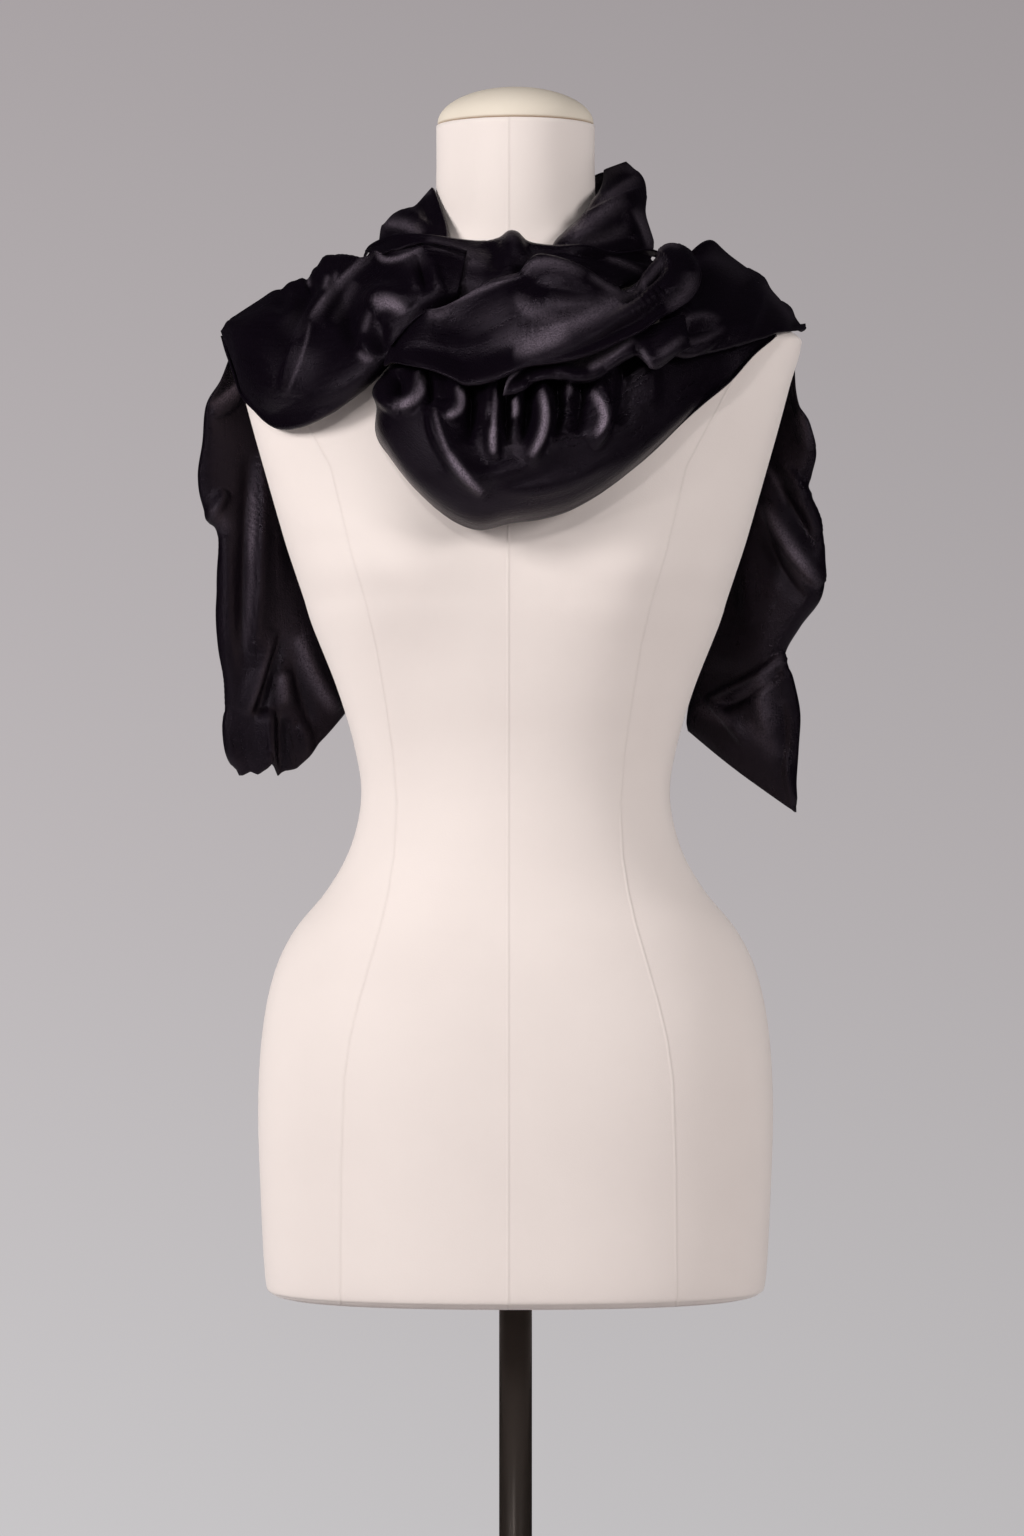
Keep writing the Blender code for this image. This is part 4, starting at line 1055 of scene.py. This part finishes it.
# Left end.
# One end of the strip hangs behind the form's right arm hole, doubled and loosely pleated, with a slanting hem.
LEFT_TAIL = (
    (-188, 1334, 30, -118, 1374, 36, 8, 0),
    (-198, 1314, 32, -126, 1350, 60, 9, 0),
    (-206, 1295, 28, -133, 1312, 84, 12, 0),
    (-216, 1278, 34, -133, 1284, 94, 14, 0),
    (-219, 1251, 40, -131, 1251, 98, 14, 0),
    (-222, 1228, 44, -128, 1228, 100, 14, 0),
    (-219, 1208, 46, -125, 1206, 100, 14, 0),
    (-208, 1185, 48, -121, 1185, 100, 14, 0),
    (-208, 1152, 50, -115, 1163, 98, 14, 0),
    (-209, 1132, 50, -110, 1149, 98, 14, 0),
    (-207, 1109, 52, -107, 1135, 96, 14, 2),
    (-202, 1087, 54, -105, 1124, 96, 14, 5),
    (-203, 1061, 56, -102, 1113, 96, 13, 10),
    (-199, 1034, 58, -100, 1103, 96, 12, 18),
    (-193, 1019, 60, -100, 1092, 96, 10, 25),
)
LEFT_TAIL_FOLDS = (
    (-190, 1291, -202, 1276, -214, 1272, 4, 3, 6),
    (-179, 1250, -181, 1170, -185, 1094, 8, 10, 3),
    (-186, 1246, -189, 1180, -192, 1104, -4, 3, 6),
    (-202, 1218, -208, 1208, -215, 1194, 5, 4, 5),
    (-203, 1190, -201, 1130, -200, 1066, 3, 6, 6),
    (-172, 1232, -167, 1190, -165, 1146, 3, 5, 5),
    (-168, 1122, -179, 1086, -188, 1060, 5, 2.5, 7),
    (-164, 1120, -174, 1084, -182, 1058, -5, 5, 3),
    (-163, 1092, -162, 1080, -161, 1066, 5, 6, 6),
    (-152, 1118, -140, 1086, -120, 1062, 6, 7, 4),
    (-156, 1100, -150, 1076, -140, 1050, -4, 4, 5),
    (-150, 1240, -142, 1200, -138, 1150, -5, 8, 8),
    (-207, 1064, -204, 1044, -197, 1022, 4, 5, 5),
    (-172, 1066, -171, 1046, -170, 1008, 7, 1.8, 9),
    (-166, 1062, -165, 1044, -165, 1010, -4, 5, 2),
    (-150, 1056, -147, 1044, -146, 1024, 3, 5, 5),
)
# Painted highlights and sheen on this stretch: curves where its base colour is lightened into a gleam.
LEFT_TAIL_MARKS = (
    (-214, 1277, -200, 1288, -190, 1296, 0.55, 2, 5),
    (-183, 1240, -184, 1168, -188, 1106, 0.22, 2, 3),
    (-184, 1222, -184, 1195, -186, 1165, 0.30, 1.5, 2),
    (-151, 1122, -140, 1090, -124, 1063, 0.28, 3.5, 6),
    (-163, 1092, -162, 1081, -161, 1068, 0.26, 4, 5),
    (-168, 1120, -179, 1085, -187, 1063, 0.22, 1.2, 1.6),
    (-215, 1206, -207, 1200, -202, 1188, 0.18, 4, 4),
    (-170, 1170, -160, 1120, -140, 1090, 0.07, 12, 12),
)
points = stretch_points(
    LEFT_TAIL, LEFT_TAIL_FOLDS, (230, 76), (8, 8), from_eye, ["dress_form", "left_shoulder"], seed=10,
    hem=((0, 0), (0.06, 3), (0.12, 1), (0.19, 6), (0.245, 14), (0.27, -2), (0.33, 0), (0.42, -2), (0.6, 3), (1, 0)),
)
velvet_piece("left_tail_sheet", points, "left_tail", LEFT_TAIL_MARKS)


# Right end.
# The other end hangs behind the form's left arm hole. It is twisted once, so that its upper half crosses over the
# lower, and its hem runs down to a point.
RIGHT_TAIL = (
    (118, 1376, 36, 186, 1338, 30, 8, 0),
    (126, 1348, 60, 194, 1318, 32, 9, 0),
    (131, 1306, 84, 196, 1288, 30, 12, 0),
    (130, 1275, 92, 201, 1269, 36, 14, 0),
    (130, 1249, 96, 210, 1247, 40, 14, 0),
    (129, 1229, 98, 207, 1229, 44, 14, 0),
    (128, 1214, 98, 203, 1214, 46, 14, 0),
    (127, 1194, 98, 213, 1194, 48, 16, 0),
    (126, 1170, 98, 216, 1170, 50, 18, 0),
    (125, 1145, 98, 214, 1144, 52, 18, 0),
    (126, 1121, 98, 199, 1123, 54, 16, 0),
    (126, 1103, 98, 188, 1103, 56, 14, 0),
    (125, 1089, 98, 194, 1087, 56, 12, 0),
    (123, 1075, 98, 199, 1063, 58, 12, 0),
    (121, 1065, 96, 198, 1037, 60, 12, 2),
    (120, 1056, 96, 196, 1009, 62, 10, 2),
    (121, 1050, 96, 196, 993, 64, 8, 2),
)
RIGHT_TAIL_FOLDS = (
    (183, 1240, 199, 1222, 214, 1188, 4, 3, 5),
    (180, 1226, 194, 1204, 212, 1176, -5, 5, 5),
    (176, 1210, 191, 1178, 214, 1151, 8, 8, 3),
    (174, 1200, 184, 1168, 204, 1142, -4, 3, 6),
    (204, 1276, 202, 1262, 206, 1246, 3, 5, 5),
    (188, 1104, 165, 1087, 132, 1071, 7, 5, 2.5),
    (188, 1097, 168, 1079, 140, 1064, -5, 4, 5),
    (150, 1220, 148, 1170, 152, 1116, -4, 9, 9),
    (162, 1200, 160, 1160, 168, 1124, 3, 8, 8),
    (178, 1094, 172, 1073, 178, 1046, 5, 7, 5),
    (134, 1071, 148, 1057, 162, 1038, 3, 5, 2.5),
    (186, 1072, 188, 1048, 190, 1022, -3, 4, 4),
    (190, 1040, 191, 1018, 195, 998, 3, 3, 3),
)
# Painted highlights and violet sheen on this stretch: curves where its base colour is lightened into a gleam.
RIGHT_TAIL_MARKS = (
    (172, 1210, 189, 1184, 214, 1151, 0.34, 4, 5),
    (176, 1236, 184, 1222, 189, 1208, 0.25, 2, 2),
    (190, 1180, 199, 1168, 206, 1152, 0.26, 3, 5),
    (188, 1105, 168, 1084, 151, 1073, 0.30, 3, 2),
    (178, 1088, 172, 1071, 180, 1048, 0.26, 7, 6),
    (128, 1068, 140, 1060, 152, 1054, 0.24, 4, 4),
    (162, 1058, 172, 1046, 186, 1030, 0.15, 6, 6),
    (196, 1272, 203, 1262, 206, 1248, 0.12, 5, 5),
)
points = stretch_points(
    RIGHT_TAIL, RIGHT_TAIL_FOLDS, (250, 64), (8, 8), from_eye, ["dress_form", "right_shoulder"], seed=11
)
velvet_piece(
    "right_tail_sheet", points, "right_tail", RIGHT_TAIL_MARKS
)


# Floor, paper and light.
# A pale floor disc, grey paper beyond it with painted shade that darkens it upwards and towards the right, a large
# diffused box on the left and a weaker one on the right. Small lamps, most of them on the left, draw narrow gleams on
# the velvet. The large boxes and the two lamps behind are hidden from glossy rays, and the room is darker to those
# rays, so the velvet stays black.
floor = mesh_piece(
    "floor", turned_surface([(0.01, -1.0), (1500, -1.0), (2900, -1.0)], 96), grid_quads(3, 96, closed=True)
)
pale = bpy.data.materials.new("pale_floor")
pale_shader = shader_of(pale)
tree = pale.node_tree
dust = node(tree, "ShaderNodeTexNoise", Vector=node(tree, "ShaderNodeTexCoord").outputs["Object"], Scale=6.0)
floor_colour = node(
    tree, "ShaderNodeMix", {"data_type": "RGBA"},
    i0=dust.outputs["Fac"], i6=(0.60, 0.58, 0.585, 1.0), i7=(0.66, 0.64, 0.645, 1.0),
)
tree.links.new(floor_colour.outputs[2], pale_shader.inputs["Base Color"])
pale_shader.inputs["Roughness"].default_value = 0.8
floor.data.materials.append(pale)

world = bpy.data.worlds.new("grey_paper")
world.use_nodes = True
scene.world = world
tree = world.node_tree
backdrop = tree.nodes["Background"]
# Painted shade on the paper: darker upwards, and darker towards the right, away from the key light on the left.
ray = node(tree, "ShaderNodeSeparateXYZ", Vector=node(tree, "ShaderNodeTexCoord").outputs["Generated"])
rise = node(tree, "ShaderNodeMapRange", i0=ray.outputs["Z"], i1=-0.147, i2=0.147, i3=0.0, i4=1.0).outputs[0]
paper = node(tree, "ShaderNodeValToRGB", Fac=rise)
paper.color_ramp.elements[0].color = (0.550, 0.535, 0.545, 1.0)
paper.color_ramp.elements[1].color = (0.375, 0.345, 0.354, 1.0)
middle = paper.color_ramp.elements.new(0.45)
middle.color = (0.475, 0.445, 0.455, 1.0)
side = node(tree, "ShaderNodeMapRange", i0=ray.outputs["X"], i1=-0.1, i2=0.1, i3=1.06, i4=0.92).outputs[0]
sided = node(tree, "ShaderNodeVectorMath", {"operation": "SCALE"}, i0=paper.outputs["Color"], Scale=side).outputs[0]
path = node(tree, "ShaderNodeLightPath")
room = node(
    tree, "ShaderNodeMix", {"data_type": "RGBA"},
    i0=path.outputs["Is Glossy Ray"], i6=(0.12, 0.117, 0.12, 1.0), i7=(0.012, 0.011, 0.013, 1.0),
)
shown = node(
    tree, "ShaderNodeMix", {"data_type": "RGBA"}, i0=path.outputs["Is Camera Ray"], i6=room.outputs[2], i7=sided
)
tree.links.new(shown.outputs[2], backdrop.inputs["Color"])

# Columns: name, place, aim, width, height, watts, and whether it shows in the gleams.
LIGHTS = (
    ("key_left", (-2.9, -1.8, 2.4), (0.0, 0.0, 1.3), 0.9, 1.1, 95.0, False),
    ("fill_right", (2.6, -2.1, 2.1), (0.0, 0.0, 1.3), 0.9, 1.2, 46.0, False),
    ("gleam_left", (-2.1, -2.5, 2.0), (0.0, 0.0, 1.25), 0.20, 0.45, 11.0, True),
    ("gleam_front", (-0.6, -2.8, 2.4), (0.0, 0.0, 1.25), 0.22, 0.26, 12.0, True),
    ("gleam_right", (1.9, -2.3, 2.2), (0.0, 0.0, 1.25), 0.24, 0.40, 5.0, True),
    ("back_left", (-2.3, 1.6, 1.0), (0.0, 0.0, 1.0), 0.9, 0.9, 9.0, False),
    ("back_right", (2.3, 1.6, 1.0), (0.0, 0.0, 1.0), 0.9, 0.9, 9.0, False),
)
for name, place, aim, width, height, watts, gleams in LIGHTS:
    lamp = bpy.data.lights.new(name, "AREA")
    lamp.shape = "RECTANGLE"
    lamp.size = width
    lamp.size_y = height
    lamp.energy = watts
    stand = bpy.data.objects.new(name, lamp)
    stand.location = place
    stand.rotation_euler = (Vector(aim) - Vector(place)).to_track_quat("-Z", "Y").to_euler()
    stand.visible_glossy = gleams
    scene.collection.objects.link(stand)
